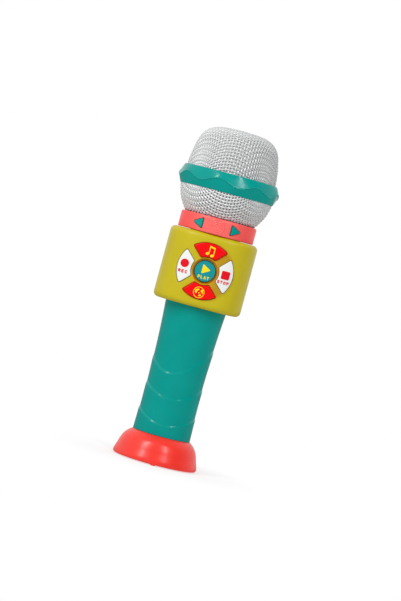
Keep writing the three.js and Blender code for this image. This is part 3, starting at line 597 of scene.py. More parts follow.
def seam_lip(loops_at, low, high):
    """A lip inside a front shell that laps over the seam.

    loops_at(inset, z) is the wall's inner outline at a height, moved inwards.
    """
    heights = np.linspace(low, high, 24)

    def band(outer, inner):
        outside = [loops_at(outer, z) for z in heights]
        return loft(outside + [loops_at(inner, z) for z in heights[::-1]], wrap=True)

    lap = common(band(0.12, 1.0), block((-FAR, FAR), (-2.6, 1.6), HEIGHTS))
    root = common(band(-0.4, 0.8), block((-FAR, FAR), (-2.6, -0.5), HEIGHTS))
    return join(lap, root)


def front_half(shell):
    return cut(shell, block((-FAR, FAR), (-GAP / 2, FAR), HEIGHTS))


def back_half(shell):
    return cut(shell, block((-FAR, FAR), (-FAR, GAP / 2), HEIGHTS))


def housing_front():
    lip = seam_lip(lambda inset, z: superellipse(-WALL - inset, z), BOX_BOTTOM + 3.0, BOX_TOP - 3.0)
    hub = turned_along_y([(PLAY_RADIUS, -27), (CLUSTER_INNER, -27), (CLUSTER_INNER, -24), (PLAY_RADIUS, -24)],
                         *CLUSTER, 96)
    front = join(front_half(join(box_shell(), hub)), lip)
    holes = [flared_hole(sector_outline, turn, CLUSTER, box_front, WALL_BEHIND) for turn in SECTORS.values()]
    dish = turned_along_y([(0, -31), (9.35, -31), (9.3, -28.1), (9.1, -27.8), (8.3, -26.8), (7.8, -26.3),
                           (7.5, -25.9), (7.5, -20), (0, -20)], *CLUSTER, 128)
    return cut(front, *holes, dish)


def sound_slots():
    """Cutters for the round patch of slots behind the loudspeaker."""
    pitch, radius, half_height = 4.2, 15.5, 1.0
    angles = np.linspace(-math.pi / 2, math.pi / 2, 9)
    slots = []
    for i in range(-3, 4):
        half = math.sqrt(radius**2 - (i * pitch) ** 2)

        def slot_at(grow, half=half):
            r = half_height - GAP + grow
            right = np.stack([half - half_height + r * np.cos(angles), r * np.sin(angles)], 1)
            return np.vstack([right, -right])

        slots.append(flared_hole(slot_at, 0.0, (0.0, CLUSTER_Z + i * pitch), box_front, WALL_BEHIND))
    return [moved(slot, Matrix.Scale(-1, 4, (0, 1, 0))) for slot in slots]


def screw_wells(start, outside):
    """The bosses and the wells of the screws whose names start so."""
    bosses, wells = [], []
    for node in sorted(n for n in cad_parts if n.startswith(start)):
        x, _, z = middle_of(node)
        bosses.append(rod_y(3.6, x, z, SCREW_SEAT - 2.2, outside))
        wells.append(rod_y(3.0, x, z, SCREW_SEAT - 0.2, 30))
    return bosses, wells


def housing_back():
    bosses, wells = screw_wells("housing_screw", 30)
    filled = loft([superellipse(-0.4, z) for z in (BOX_BOTTOM + 1, BOX_TOP - 1)])
    shell = join(back_half(box_shell()), common(together(*bosses), filled))
    return cut(shell, *sound_slots(), *wells)


def sector_button(turn):
    """A cap that follows the box's front, with a retaining flange behind the wall."""
    middle = np.array([0, BUTTON_CENTRE])

    def on_face(outline, proud):
        return to_loop(outline, turn, lambda x, z: box_front(x, z) - proud, CLUSTER)

    def behind_wall(outline):
        return to_loop(outline, turn, lambda x, z: -box_face(x, -WALL - 2 * GAP), CLUSTER)

    flange, rim = sector_outline(1.2, 0.0), sector_outline(-0.6)
    loops = [to_loop(outline, turn, flat_at(BUTTON_BACK), CLUSTER)
             for outline in (flange * 0.02 + middle * 0.98, flange)]
    loops += [behind_wall(flange), behind_wall(sector_outline())]
    for grow, rise in ((0.0, -0.55), (-0.05, -0.3), (-0.17, -0.12), (-0.36, -0.02), (-0.6, 0.03)):
        loops.append(on_face(sector_outline(grow), BUTTON_PROUD + rise))
    for share in (0.88, 0.76, 0.64, 0.52, 0.4, 0.28, 0.16, 0.03):
        crown = BUTTON_PROUD + 0.03 + 0.14 * (1 - share**2)
        loops.append(on_face(middle + (rim - middle) * share, crown))
    return loft(loops)


def play_button():
    edge = PLAY_RADIUS
    face = [(0, -29.35), (2, -29.32), (4, -29.2), (5.4, -29.0), (edge - 0.95, -28.85), (edge - 0.6, -28.97),
            (edge - 0.28, -28.92), (edge - 0.06, -28.65), (edge, -28.3)]
    back = [(edge, -23.6), (8.6, -23.6), (8.6, -22.6), (2.4, -22.6), (2.4, BUTTON_BACK), (0, BUTTON_BACK)]
    return turned_along_y(face + back, 0, CLUSTER_Z, 128)


# ------------------------------------------------------------ printed symbols
def ellipse(x, z, width, height, tilt=0.0, count=28):
    angles = np.arange(count) / count * TAU
    px, pz = width * np.cos(angles), height * np.sin(angles)
    c, s = math.cos(tilt), math.sin(tilt)
    return np.stack([x + px * c - pz * s, z + px * s + pz * c], 1)


def stroke(points, width):
    """Polygons that together draw a line of a given width, with round joins."""
    points = [np.array(p, float) for p in points]
    shapes = [ellipse(p[0], p[1], width / 2, width / 2, count=12) for p in points]
    for start, end in zip(points, points[1:]):
        along = (end - start) / np.linalg.norm(end - start)
        aside = np.array([-along[1], along[0]]) * width / 2
        shapes.append(np.array([start - aside, end - aside, end + aside, start + aside]))
    return shapes


def arc_points(x, z, width, height, start, end, count=10):
    angles = np.radians(np.linspace(start, end, count))
    return [(x + width * math.cos(a), z + height * math.sin(a)) for a in angles]


LETTERS = {
    "R": [[(0, 0), (0, 1), (0.55, 1)] + arc_points(0.55, 0.75, 0.4, 0.25, 90, -90) + [(0, 0.5)],
          [(0.5, 0.5), (1, 0)]],
    "E": [[(0.9, 1), (0, 1), (0, 0), (0.9, 0)], [(0, 0.5), (0.75, 0.5)]],
    "C": [arc_points(0.55, 0.5, 0.55, 0.5, 50, 310, 16)],
    "P": [[(0, 0), (0, 1), (0.55, 1)] + arc_points(0.55, 0.73, 0.4, 0.27, 90, -90) + [(0, 0.46)]],
    "L": [[(0, 1), (0, 0), (0.85, 0)]],
    "A": [[(0, 0), (0.5, 1), (1, 0)], [(0.2, 0.33), (0.8, 0.33)]],
    "Y": [[(0, 1), (0.5, 0.5), (1, 1)], [(0.5, 0.5), (0.5, 0)]],
    "S": [arc_points(0.5, 0.75, 0.42, 0.25, 30, 270, 12) + arc_points(0.5, 0.25, 0.45, 0.25, 90, -150, 12)],
    "T": [[(0, 1), (1, 1)], [(0.5, 1), (0.5, 0)]],
    "O": [arc_points(0.5, 0.5, 0.5, 0.5, 0, 360, 20)],
}


def word(text, width, height, line=0.56):
    """A word in plain block strokes, centred on the origin."""
    pitch = width / (len(text) - 0.22)
    shapes = []
    for i, letter in enumerate(text):
        left = -width / 2 + i * pitch + line / 2
        across = pitch * 0.78 - line
        for line_points in LETTERS[letter]:
            placed = [(left + x * across, (z - 0.5) * (height - line)) for x, z in line_points]
            shapes += stroke(placed, line)
    return shapes


def rounded_polygon(points, reach):
    return np.array(soften(points, reach, 5))


def note_symbol():
    shapes = [ellipse(-1.75, -2.3, 1.25, 0.95, 0.35), ellipse(1.6, -3.2, 1.25, 0.95, 0.35)]
    shapes += stroke([(-0.8, -2.2), (-0.8, 3.1)], 0.6) + stroke([(2.6, -3.1), (2.6, 2.3)], 0.6)
    shapes.append(np.array([(-1.1, 2.3), (2.9, 1.5), (2.9, 2.6), (-1.1, 3.4)]))
    return shapes


def globe_symbol():
    ring = stroke(arc_points(0, 0, 3.7, 3.7, 0, 360, 49), 0.44)
    lands = [(-1.7, 1.3, 1.2, 0.75, 0.5), (-2.0, 0.2, 0.75, 1.0, 0.2), (-0.8, 2.0, 0.9, 0.5, 0.2),
             (1.9, 1.5, 0.7, 1.1, -0.5), (2.5, 0.2, 0.45, 0.7, 0.0), (1.1, -1.8, 0.95, 0.6, 0.5),
             (0.2, -0.2, 0.4, 0.4, 0.0)]
    return ring + [ellipse(x, z, w, h, tilt) for x, z, w, h, tilt in lands]


def holds(shape, point):
    """Whether a convex polygon holds a point."""
    edges = np.roll(shape, -1, 0) - shape
    side = edges[:, 0] * (point[1] - shape[:, 1]) - edges[:, 1] * (point[0] - shape[:, 0])
    return (side > -1e-5).all() or (side < 1e-5).all()


def flat_union(shapes):
    """The union of convex polygons as small triangles in the XZ plane."""
    verts, faces = [], []
    for shape in shapes:
        start = len(verts)
        area = sum(a[0] * b[1] - b[0] * a[1] for a, b in zip(shape, np.roll(shape, -1, 0)))
        ordered = shape if area > 0 else shape[::-1]
        verts += [Vector((float(p[0]), float(p[1]))) for p in ordered]
        faces.append(list(range(start, len(verts))))
    points, _, triangles, _, _, _ = delaunay_2d_cdt(verts, [], faces, 0, 1e-4)
    bm = bmesh.new()
    flat = [bm.verts.new((p.x, 0, p.y)) for p in points]
    for triangle in triangles:
        inner_point = sum(np.array(points[i]) for i in triangle) / 3
        if any(holds(shape, inner_point) for shape in shapes):
            bm.faces.new([flat[i] for i in triangle])
    bmesh.ops.remove_doubles(bm, verts=bm.verts, dist=1e-4)
    bmesh.ops.delete(bm, geom=[v for v in bm.verts if not v.link_faces], context="VERTS")
    for _ in range(3):
        edges = [e for e in bm.edges if e.calc_length() > 0.8]
        bmesh.ops.subdivide_edges(bm, edges=edges, cuts=1)
        bmesh.ops.triangulate(bm, faces=[f for f in bm.faces if len(f.verts) > 3])
    return bm


def symbol(shapes, centre, cap, lift=0.1, sink=0.15):
    """A flat symbol as a thin slab laid on the front of a button's cap."""
    bm = flat_union(shapes)
    bmesh.ops.recalc_face_normals(bm, faces=bm.faces)
    grown = bmesh.ops.extrude_face_region(bm, geom=list(bm.faces))
    top = {v for v in grown["geom"] if isinstance(v, bmesh.types.BMVert)}
    face = BVHTree.FromPolygons([v.co for v in cap.vertices], [f.vertices for f in cap.polygons])
    for vert in bm.verts:
        x, z = vert.co.x + centre[0], vert.co.z + centre[1]
        y = face.ray_cast(Vector((x, -60, z)), Vector((0, 1, 0)))[0].y
        vert.co = (x, y - lift if vert in top else y + sink, z)
    bmesh.ops.recalc_face_normals(bm, faces=bm.faces)
    mesh = bpy.data.meshes.new("symbol")
    bm.to_mesh(mesh)
    bm.free()
    return mesh


def add_symbols(caps):
    plan = [
        ("song", "note", note_symbol(), (0.3, 14.6), PRINT_YELLOW),
        ("globe", "world", globe_symbol(), (-0.3, -15.1), PRINT_YELLOW),
        ("record", "spot", [ellipse(0, 0, 2.95, 2.95, count=48)], (-14.9, 2.0), PRINT_RED),
        ("record", "word", word("REC", 6.6, 2.3, 0.62), (-14.9, -3.7), PRINT_RED),
        ("stop", "square", [rounded_polygon([(-2.9, -2.9), (2.9, -2.9), (2.9, 2.9), (-2.9, 2.9)], 1.0)],
         (14.5, 0.8), PRINT_RED),
        ("stop", "word", word("STOP", 8.3, 2.3, 0.6), (13.95, -4.4), PRINT_RED),
        ("play", "triangle", [rounded_polygon([(-2.7, -3.4), (3.3, 0), (-2.7, 3.4)], 1.0)], (0.5, 1.3),
         PRINT_YELLOW),
        ("play", "word", word("PLAY", 8.0, 2.3, 0.6), (0, -4.3), PRINT_YELLOW),
    ]
    for button, name, shapes, (x, z), material in plan:
        mesh = symbol(shapes, (x, CLUSTER_Z + z), caps[button])
        add_piece(button + "_print_" + name, mesh, material, body=button + "_button")


# ------------------------------------------------------------ collar and its buttons
ARROW_ANGLE = math.radians(29)
ARROW_Z = 170.5
ARROW_GAP = 0.5
COLLAR_INNER = 25.1


def collar():
    """The coral ring, with fine concentric circles raised at its front centre."""
    front = np.radians(np.arange(-13, 13.01, 0.4) - 90)
    rest = np.radians(np.arange(-74, 254, 2.5))
    angles = np.concatenate([front, rest])
    radius = COLLAR_RADIUS
    edge = 1.4
    heights = np.arange(COLLAR_BOTTOM + 0.6, COLLAR_TOP - edge, 0.22)
    outer = [(radius - 0.6, COLLAR_BOTTOM), (radius - 0.17, COLLAR_BOTTOM + 0.17)]
    outer += [(radius, z) for z in heights]
    outer += [(radius - edge * (1 - math.cos(a)), COLLAR_TOP - edge * (1 - math.sin(a)))
              for a in np.linspace(0, math.pi / 2, 8)]
    floor, flange_bottom, flange_top = 166.2, 160.8, BOX_TOP - BOX_END_WALL - GAP
    inner = [(COLLAR_INNER + 0.2, COLLAR_TOP), (COLLAR_INNER, COLLAR_TOP - 0.2), (COLLAR_INNER, floor),
             (15.5, floor), (15.5, flange_bottom), (20.5, flange_bottom), (20.5, flange_top),
             (18.0, flange_top), (18.0, COLLAR_BOTTOM)]
    loops = []
    for r, z in outer + inner:
        across = radius * np.arctan2(np.sin(angles + math.pi / 2), np.cos(angles + math.pi / 2))
        away = np.hypot(across, z - ARROW_Z)
        ridge = sum(0.32 * np.exp(-(((away - ring) / 0.42) ** 2)) for ring in (0.0, 1.9, 3.5, 5.0))
        swell = ridge if r > radius - 0.05 else 0.0
        loops.append(circle(r + swell, z, angles))
    shell = loft(loops, wrap=True)
    return cut(shell, *[arrow_window(side) for side in (-1, 1)])


def arrow_outline(side, grow=0.0):
    half, back, tip = 3.5 + grow * 1.3, -3.0 - grow, 4.1 + grow * 1.6
    points = [(side * back, -half), (side * tip, 0), (side * back, half)]
    outline = rounded_polygon(points if side > 0 else points[::-1], 0.9 + grow)
    t = np.linspace(0, 1, 6)[:-1, None]
    return np.vstack([a + (b - a) * t for a, b in zip(outline, np.roll(outline, -1, 0))])


def collar_front(x, z):
    return -np.sqrt(np.maximum(COLLAR_RADIUS**2 - x**2, 0))


def to_arrow(mesh, side):
    return moved(mesh, Matrix.Rotation(side * ARROW_ANGLE, 4, "Z"))


def arrow_window(side):
    hole = flared_hole(lambda grow: arrow_outline(side, grow), 0.0, (0.0, ARROW_Z), collar_front, -20.0,
                       ARROW_GAP)
    return to_arrow(hole, side)


def arrow_button(side):
    centre = (0.0, ARROW_Z)
    flange = arrow_outline(side, 0.7)
    back, front = -23.4, -24.4
    steps = ((flange * 0.02, back), (flange, back), (flange, front), (arrow_outline(side), front))
    loops = [to_loop(outline, 0.0, flat_at(y), centre) for outline, y in steps]
    for grow, proud in ((0.0, 0.1), (-0.06, 0.35), (-0.2, 0.5), (-0.45, 0.58)):
        loops.append(to_loop(arrow_outline(side, grow), 0.0, lambda x, z: collar_front(x, z) - proud, centre))
    rim = arrow_outline(side, -0.45)
    middle = rim.mean(0)
    for share in (0.8, 0.6, 0.4, 0.2, 0.03):
        face = middle + (rim - middle) * share
        loops.append(to_loop(face, 0.0, lambda x, z: collar_front(x, z) - 0.6, centre))
    plunger = turned_along_y([(0, -24), (1.4, -24), (1.4, -22.9), (0, -22.9)], 0, 172.0, 32)
    return to_arrow(join(loft(loops), plunger), side)


# ------------------------------------------------------------ handle
# each grip lip's mean height, its swing up to the sides, its tilt up to the right,
# and the angle from the front where it is lowest
LIPS = ((73.1, 6.9, 6.3, -5), (51.9, 4.5, 2.0, 5), (32.4, 4.2, 0.4, 0))
LIP_STEP = 0.4
HANDLE_BOTTOM = BASE_TOP + GAP
DOOR_SCREW_Z = 95.4
DOOR_LOW, DOOR_HIGH = 38, 98.8
BASE_NECK = 4.0
BASE_SCREW_X = 22.4
HANDLE_TOP = BOX_BOTTOM - GAP
BORE = [(16, 24), (17.6, 32), (17.4, 60), (17.6, 76), (18.2, 95), (19, 106), (17, 112)]  # (radius, z)


def handle_radius(z):
    return 19.5 + 0.00075 * (z - 58) ** 2


def handle_tube(count=200):
    """The grip as a tube: three wavy lips, each stepping out and fading back into the lip below."""
    angles = np.arange(count) / count * TAU
    from_front = angles + math.pi / 2
    knots = [np.full(count, HANDLE_TOP)]
    for z, swing, tilt, lean in LIPS:
        knots.append(z - swing * np.cos(2 * (from_front - math.radians(lean))) + tilt * np.sin(from_front))
    knots.append(np.full(count, HANDLE_BOTTOM))
    loops = []
    for i, (high, low) in enumerate(zip(knots, knots[1:])):
        step = LIP_STEP if i else 0.0
        edge = [(0.0, 0.0), (0.02, 0.14), (0.05, 0.52), (0.08, 0.88), (0.1, 1.0)] if i else [(0.0, 0.0)]
        fade = [(t, 1 - (t - 0.1) / 0.9) for t in np.linspace(0.13, 0.985, 14)]
        for t, share in edge + fade:
            z = high + (low - high) * t
            loops.append(circle(handle_radius(z) + step * share, z, angles))
    loops.append(circle(handle_radius(HANDLE_BOTTOM), HANDLE_BOTTOM, angles))
    low = HANDLE_BOTTOM - BASE_NECK - 2 * GAP
    high = HANDLE_TOP + BOX_END_WALL + 2 * GAP
    thick = 2.1
    spigots = [(18.0, HANDLE_BOTTOM), (18.0, low), (19.2, low), (19.2, low - thick), (16, low - thick), *BORE,
               (17, high + thick), (21.5, high + thick), (21.5, high), (18.9, high), (18.9, HANDLE_TOP)]
    loops += [circle(r, z, angles) for r, z in spigots]
    return loft(loops, wrap=True)


def wedge(margin, bottom, top, reach=45.0):
    """The battery opening, as a sector about +Y."""
    half = math.radians(57) - margin
    aside, back = reach * math.sin(half), reach * math.cos(half)
    return loft([[(0, 2, z), (aside, back, z), (-aside, back, z)] for z in (bottom, top)])


def handle_front():
    angles = np.arange(120) / 120 * TAU
    bore = np.array([(14, 16), *[(z, r) for r, z in BORE]])
    lip = seam_lip(lambda inset, z: circle(np.interp(z, *bore.T) - inset, z, angles), 14.0, 117.0)
    return join(front_half(handle_tube()), lip)


def cell_bay():
    """The floor and end walls that hold the cells."""
    half, low, high, thick = 15.4, 35, 96, 1.5
    floor = block((-half, half), (-6.5, -5.0), (low, high))
    ends = [block((-half, half), (-5.2, 13.2), z) for z in ((low, low + thick), (high - thick, high))]
    return join(floor, *ends)


def handle_back():
    bosses, wells = screw_wells("handle_screw", 18.6)
    shell = cut(join(back_half(handle_tube()), *bosses), wedge(0.0, DOOR_LOW, DOOR_HIGH), *wells)
    door_boss = rod_y(3.2, 0, DOOR_SCREW_Z, 5, 15.4)
    return join(shell, cell_bay(), door_boss)


def battery_door():
    panel = common(handle_tube(), wedge(GAP / 19, DOOR_LOW + GAP, DOOR_HIGH - GAP))
    seat = rod_y(3.6, 0, 95.2, 15.8, 19.5)
    return cut(join(panel, seat), rod_y(2.9, 0, DOOR_SCREW_Z, 18, 30), rod_y(1.6, 0, DOOR_SCREW_Z, 10, 30))


# ------------------------------------------------------------ base
FOOT_CIRCLE = 28.3


def base_foot():
    """The flared shell with its neck, and three small feet."""
    corners_of_flank = [(30.1, 1.8), (29.75, 3.9), (28.4, 8.1), (27.3, 11.7), (25.7, 15.1), (23.2, 17.9),
                        (20.9, BASE_TOP - 0.3)]
    flank = [tuple(p) for p in spline(corners_of_flank, 48)]
    rim = [(26.5, 0.75), (26.7, 0.6)] + [(28.9 + 1.2 * math.sin(a), 1.8 - 1.2 * math.cos(a))
                                         for a in np.linspace(0, math.pi / 2 - 0.15, 8)]
    neck = BASE_TOP - BASE_NECK
    inside = [(20.5, BASE_TOP), (18.4, BASE_TOP), (18.3, BASE_TOP - 0.15), (18.3, neck), (21.5, neck),
              (23.6, 14.2), (25, 12), (26.2, 8), (26.5, 6)]
    shell = turned(rim + flank + inside, 160)
    feet = []
    for i in range(3):
        angle = -math.pi / 2 + i * TAU / 3
        foot = turned([(0, 0), (1.35, 0), (1.62, 0.1), (1.75, 0.4), (1.75, 2.4), (0, 2.4)], 40)
        place = (FOOT_CIRCLE * math.cos(angle), FOOT_CIRCLE * math.sin(angle), 0)
        feet.append(moved(foot, Matrix.Translation(place)))
    return join(shell, *feet)


PLATE_RADIUS = corners("base_plate")[1][0]
PLATE_BOTTOM, PLATE_TOP = (c[2] for c in corners("base_plate"))
KNOB_ROOF = 4.1


def base_plate():
    """The round plate that closes the base, with its screw wells and the power switch's pocket."""
    edge = [(PLATE_RADIUS - 0.5, PLATE_BOTTOM), (PLATE_RADIUS - 0.15, PLATE_BOTTOM + 0.15),
            (PLATE_RADIUS, PLATE_BOTTOM + 0.5), (PLATE_RADIUS, PLATE_TOP)]
    plate = turned([(0, PLATE_BOTTOM)] + edge + [(0, PLATE_TOP)], 128)
    tools = [block((-6.2, 6.2), (-2.9, 2.9), (0, KNOB_ROOF)), block((-3.8, 3.8), (-1.6, 1.6), (0, 7))]
    for x in (-BASE_SCREW_X, BASE_SCREW_X):
        for radius, top in ((3.0, KNOB_ROOF), (1.6, 7)):
            well = turned([(0, 0), (radius, 0), (radius, top), (0, top)], 40)
            tools.append(moved(well, Matrix.Translation((x, 0, 0))))
    return cut(plate, *tools)


# ------------------------------------------------------------ head
WAVES = 8
WAVE_HEIGHT = 1.9
WAVE_START = math.radians(-101)
RING_BEAD = 0.55
RING_INNER = 32.3


def head_ring(count=320):
    """The ring round the head: a small bead runs along its wavy ridge."""
    angles = np.arange(count) / count * TAU
    ridge = RIDGE_Z + WAVE_HEIGHT * np.cos(WAVES * (angles - WAVE_START))
    low, high = RING_BOTTOM + 0.3, RING_TOP - 0.35
    bead = RIDGE_RADIUS - RING_BEAD
    loops = [circle(RING_INNER, RING_BOTTOM, angles), circle(33.15, RING_BOTTOM, angles)]
    under, over = ridge - 0.5, ridge + 0.55
    for t in np.linspace(0, 1, 16):
        loops.append(circle(33.4 + (bead - 33.4) * t**0.85, low + (under - low) * t, angles))
    for t in np.linspace(0.1, 0.9, 9):
        loops.append(circle(bead + RING_BEAD * math.sin(t * math.pi), under + (over - under) * t, angles))
    for t in np.linspace(0, 1, 18):
        loops.append(circle(33.5 + (bead + 0.05 - 33.5) * (1 - t**1.25), over + (high - over) * t, angles))
    loops += [circle(33.2, RING_TOP, angles), circle(RING_INNER, RING_TOP, angles)]
    return loft(loops, wrap=True)


class Meridian:
    """A surface of revolution by arc length from its pole."""

    def __init__(self, points, count=400):
        curve = spline(points, count)
        lengths = np.concatenate([[0], np.cumsum(np.linalg.norm(np.diff(curve, axis=0), axis=1))])
        self.length = lengths[-1]
        self.stations = np.linspace(0, self.length, 600)
        self.r = np.interp(self.stations, lengths, curve[:, 0])
        self.z = np.interp(self.stations, lengths, curve[:, 1])

    def profile(self, s):
        return np.array([np.interp(s, self.stations, self.r), np.interp(s, self.stations, self.z)])

    def at(self, s, theta):
        r, z = self.profile(s)
        return np.array([r * math.cos(theta), r * math.sin(theta), z])

    def normal(self, s, theta, outward):
        step = 0.05
        dr, dz = self.profile(s + step) - self.profile(s - step)
        n = np.array([-dz * math.cos(theta), -dz * math.sin(theta), dr]) * outward
        return n / np.linalg.norm(n)


def drape(surface, pitch):
    """Lays one quadrant of a square mesh over the surface from its pole, keeping the wires' spacing."""
    reach = surface.length + 1.5 * pitch
    count = int(reach / pitch) + 1
    nodes = {}
    for i in range(count):
        nodes[i, 0] = (i * pitch, 0.0)
        nodes[0, i] = (i * pitch, math.pi / 2)
    for i in range(1, count):
        for j in range(1, count):
            a, b, c = nodes.get((i - 1, j)), nodes.get((i, j - 1)), nodes.get((i - 1, j - 1))
            if a is None or b is None or c is None:
                continue
            found = settle(surface, a, b, c, pitch)
            if found is not None and found[0] < reach:
                nodes[i, j] = found
    return nodes, count


def settle(surface, a, b, c, pitch):
    """The crossing one pitch from both of its neighbours, away from the one before."""
    pa, pb, pc = (surface.at(*p) for p in (a, b, c))
    guess = pa + pb - pc
    s, theta = a[0] + b[0] - c[0], math.atan2(guess[1], guess[0])
    for _ in range(12):
        p = surface.at(s, theta)
        error = np.array([np.linalg.norm(p - pa) - pitch, np.linalg.norm(p - pb) - pitch])
        if np.abs(error).max() < 1e-5:
            break
        step = 1e-3
        ps, pt = surface.at(s + step, theta), surface.at(s, theta + step)
        jacobian = np.array([
            [np.linalg.norm(q - neighbour) - np.linalg.norm(p - neighbour) for q in (ps, pt)]
            for neighbour in (pa, pb)
        ]) / step
        if abs(np.linalg.det(jacobian)) < 1e-9:
            return None
        change = np.linalg.solve(jacobian, error)
        s, theta = s - np.clip(change[0], -pitch, pitch), theta - np.clip(change[1], -0.2, 0.2)
    if abs(error).max() > 0.2 or not 0 < theta < math.pi / 2:
        return None
    return (s, theta)


def tube(path, normals, radius, sides=6):
    """The rings of a round wire along a path, with its section squared to the surface."""
    tangents = np.gradient(path, axis=0)
    tangents /= np.linalg.norm(tangents, axis=1)[:, None]
    across = np.cross(tangents, normals)
    across /= np.linalg.norm(across, axis=1)[:, None]
    up = np.cross(across, tangents)
    angles = np.arange(sides) / sides * TAU
    c, s = np.cos(angles)[None, :, None], np.sin(angles)[None, :, None]
    return path[:, None] + radius * (c * across[:, None] + s * up[:, None])


def stretches(row):
    """Breaks a row of crossings where one is missing."""
    parts = []
    for place, found in row:
        if not parts or place != parts[-1][-1][0] + 1:
            parts.append([])
        parts[-1].append((place, found))
    return [part for part in parts if len(part) > 1]


def wire(surface, stretch, phase, radius, outward, steps=3):
    """One wire, which swings in and out as it passes over and under those that cross it."""
    weave = radius * 0.55
    crossings = [found for _, found in stretch]
    count = steps * (len(crossings) - 1)
    path = spline([surface.at(s, theta) for s, theta in crossings], count)
    normals = spline([surface.normal(max(s, 0.1), theta, outward) for s, theta in crossings], count)
    normals /= np.linalg.norm(normals, axis=1)[:, None]
    swing = weave * np.cos(math.pi * (phase + np.arange(count + 1) / steps))
    return tube(path + normals * (swing - radius - weave)[:, None], normals, radius)


def woven(surface, pitch, radius, outward, keep):
    """Wires over and under each other in both directions, as one mesh of closed tubes."""
    nodes, count = drape(surface, pitch)

    def crossing(i, j):
        found = nodes.get((abs(i), abs(j)))
        if found is None or not keep(surface.at(*found)):
            return None
        s, theta = found
        theta = theta if i >= 0 else math.pi - theta
        return s, theta if j >= 0 else -theta

    verts, faces = [], []
    reach = range(-count + 1, count)
    for family in (0, 1):
        for fixed in reach:
            row = [(free, crossing(*((fixed, free) if family else (free, fixed)))) for free in reach]
            for stretch in stretches([(free, found) for free, found in row if found]):
                rings = wire(surface, stretch, stretch[0][0] + fixed + family, radius, outward)
                start = sum(len(v) for v in verts)
                faces += [tuple(start + i for i in face) for face in solid_faces(*rings.shape[:2])]
                verts.append(rings.reshape(-1, 3))
    return mesh_of(np.vstack(verts), faces, clean=False)


DOME = [(0, TOP_Z), (14, 239.2), (21.2, 237.1), (25.8, 233.5), (28.3, 229.2), (30.2, 222.3), (31.3, 216),
        (SKIRT_RADIUS, 209.4), (SKIRT_RADIUS, 203.5)]
BOWL = [(0, 168.6), (12, 170.2), (20.5, 173.2), (25.3, COLLAR_TOP + 0.3), (28.1, 180.6), (30.5, 184.8),
        (32.1, 189.3), (33.1, 194), (32.8, 198.4)]
MESH_PITCH = 2.25
WIRE = 0.62


def grille(points, outward, low, high, skirt, depths):
    """Wires between two heights, and a thin liner behind them that starts at its own height, the skirt."""
    wires = woven(Meridian(points), MESH_PITCH, WIRE, outward, lambda p: low < p[2] < high)
    skin = spline(points, 60)
    skin = skin[skin[:, 1] > skirt]
    near, far = (inset(skin, depth) for depth in depths)
    return wires, turned([*near.tolist(), *far[::-1].tolist()])


# ------------------------------------------------------------ fastenings
def screw_head(radius=2.6, height=1.8, shank=24.0):
    """A pan-head screw with a cross recess, head up at z 0 to its height, shank down."""
    profile = [(0, -shank), (0.6, -shank), (1.25, -shank + 1.6), (1.25, -0.01), (radius, 0)]
    profile.append((radius, height * 0.35))
    dome = np.linspace(0.2, 1.45, 8)
    profile += [(radius * math.cos(a), height * (0.35 + 0.65 * math.sin(a))) for a in dome]
    profile.append((0, height))
    body = turned(profile, 40)
    reach, half = radius * 0.58, radius * 0.13
    arms = [block((-reach, reach), (-half, half), (height * 0.35, height + 1)),
            block((-half, half), (-reach, reach), (height * 0.35, height + 1))]
    return cut(body, *arms)


# ------------------------------------------------------------ build
def build_outside():
    add_piece("control_box_front", housing_front(), LIME, "housing_front")
    add_piece("control_box_back", housing_back(), LIME, "housing_back")
    caps = {name: sector_button(turn) for name, turn in SECTORS.items()}
    caps["play"] = play_button()
    paints = {"song": RED, "globe": RED, "record": WHITE, "stop": WHITE, "play": PLAY_TEAL}
    for name, cap in caps.items():
        add_piece(name + "_cap", cap, paints[name], name + "_button", name + "_button")
    add_symbols(caps)
    add_piece("collar_ring", collar(), PALE_CORAL, "collar", sharp=40)
    for name, side in (("left", -1), ("right", 1)):
        node = "arrow_button_" + name
        add_piece("arrow_cap_" + name, arrow_button(side), TEAL, node, node)
    add_piece("grip_front", handle_front(), TEAL, "handle_front", sharp=50)
    add_piece("grip_back", handle_back(), TEAL, "handle_back", sharp=50)
    add_piece("door_panel", battery_door(), TEAL, "battery_door", "battery_door", sharp=50)
    add_piece("stand_foot", base_foot(), CORAL, "base_foot")
    add_piece("stand_plate", base_plate(), CORAL, "base_plate")
    add_piece("wavy_ring", head_ring(), TEAL, "head_ring", sharp=50)
    dome = grille(DOME, 1.0, 204.4, TOP_Z + 1, 0, (-1.2, -1.9))
    bowl = grille(BOWL, -1.0, 175.4, 197.6, 175.3, (1.45, 2.0))
    for name, (wires, liner) in (("upper", dome), ("lower", bowl)):
        node = "grille_" + name
        add_piece(node + "_wires", wires, SILVER[name], node, sharp=60)
        add_piece(node + "_liner", liner, SILVER[name])


def build_screws():
    screw = screw_head()
    along_y = Matrix.Rotation(-math.pi / 2, 4, "X")
    seated = [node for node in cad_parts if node.startswith(("housing_screw", "handle_screw"))]
    for node in sorted(seated):
        x, _, z = middle_of(node)
        place = Matrix.Translation((x, SCREW_SEAT, z))
        add_piece(node + "_steel", moved(screw, place @ along_y), STEEL, node)
    door = moved(screw_head(shank=9.5), Matrix.Translation((0, 18.2, DOOR_SCREW_Z)) @ along_y)
    add_piece("door_screw_steel", door, STEEL, "battery_door_screw", "battery_door")
    upside_down = Matrix.Rotation(math.pi, 4, "X")
    for node, x in (("base_screw_left", -BASE_SCREW_X), ("base_screw_right", BASE_SCREW_X)):
        small = moved(screw_head(2.6, 1.4, 8.0), Matrix.Translation((x, 0, 3.9)) @ upside_down)
        add_piece(node + "_steel", small, STEEL, node)


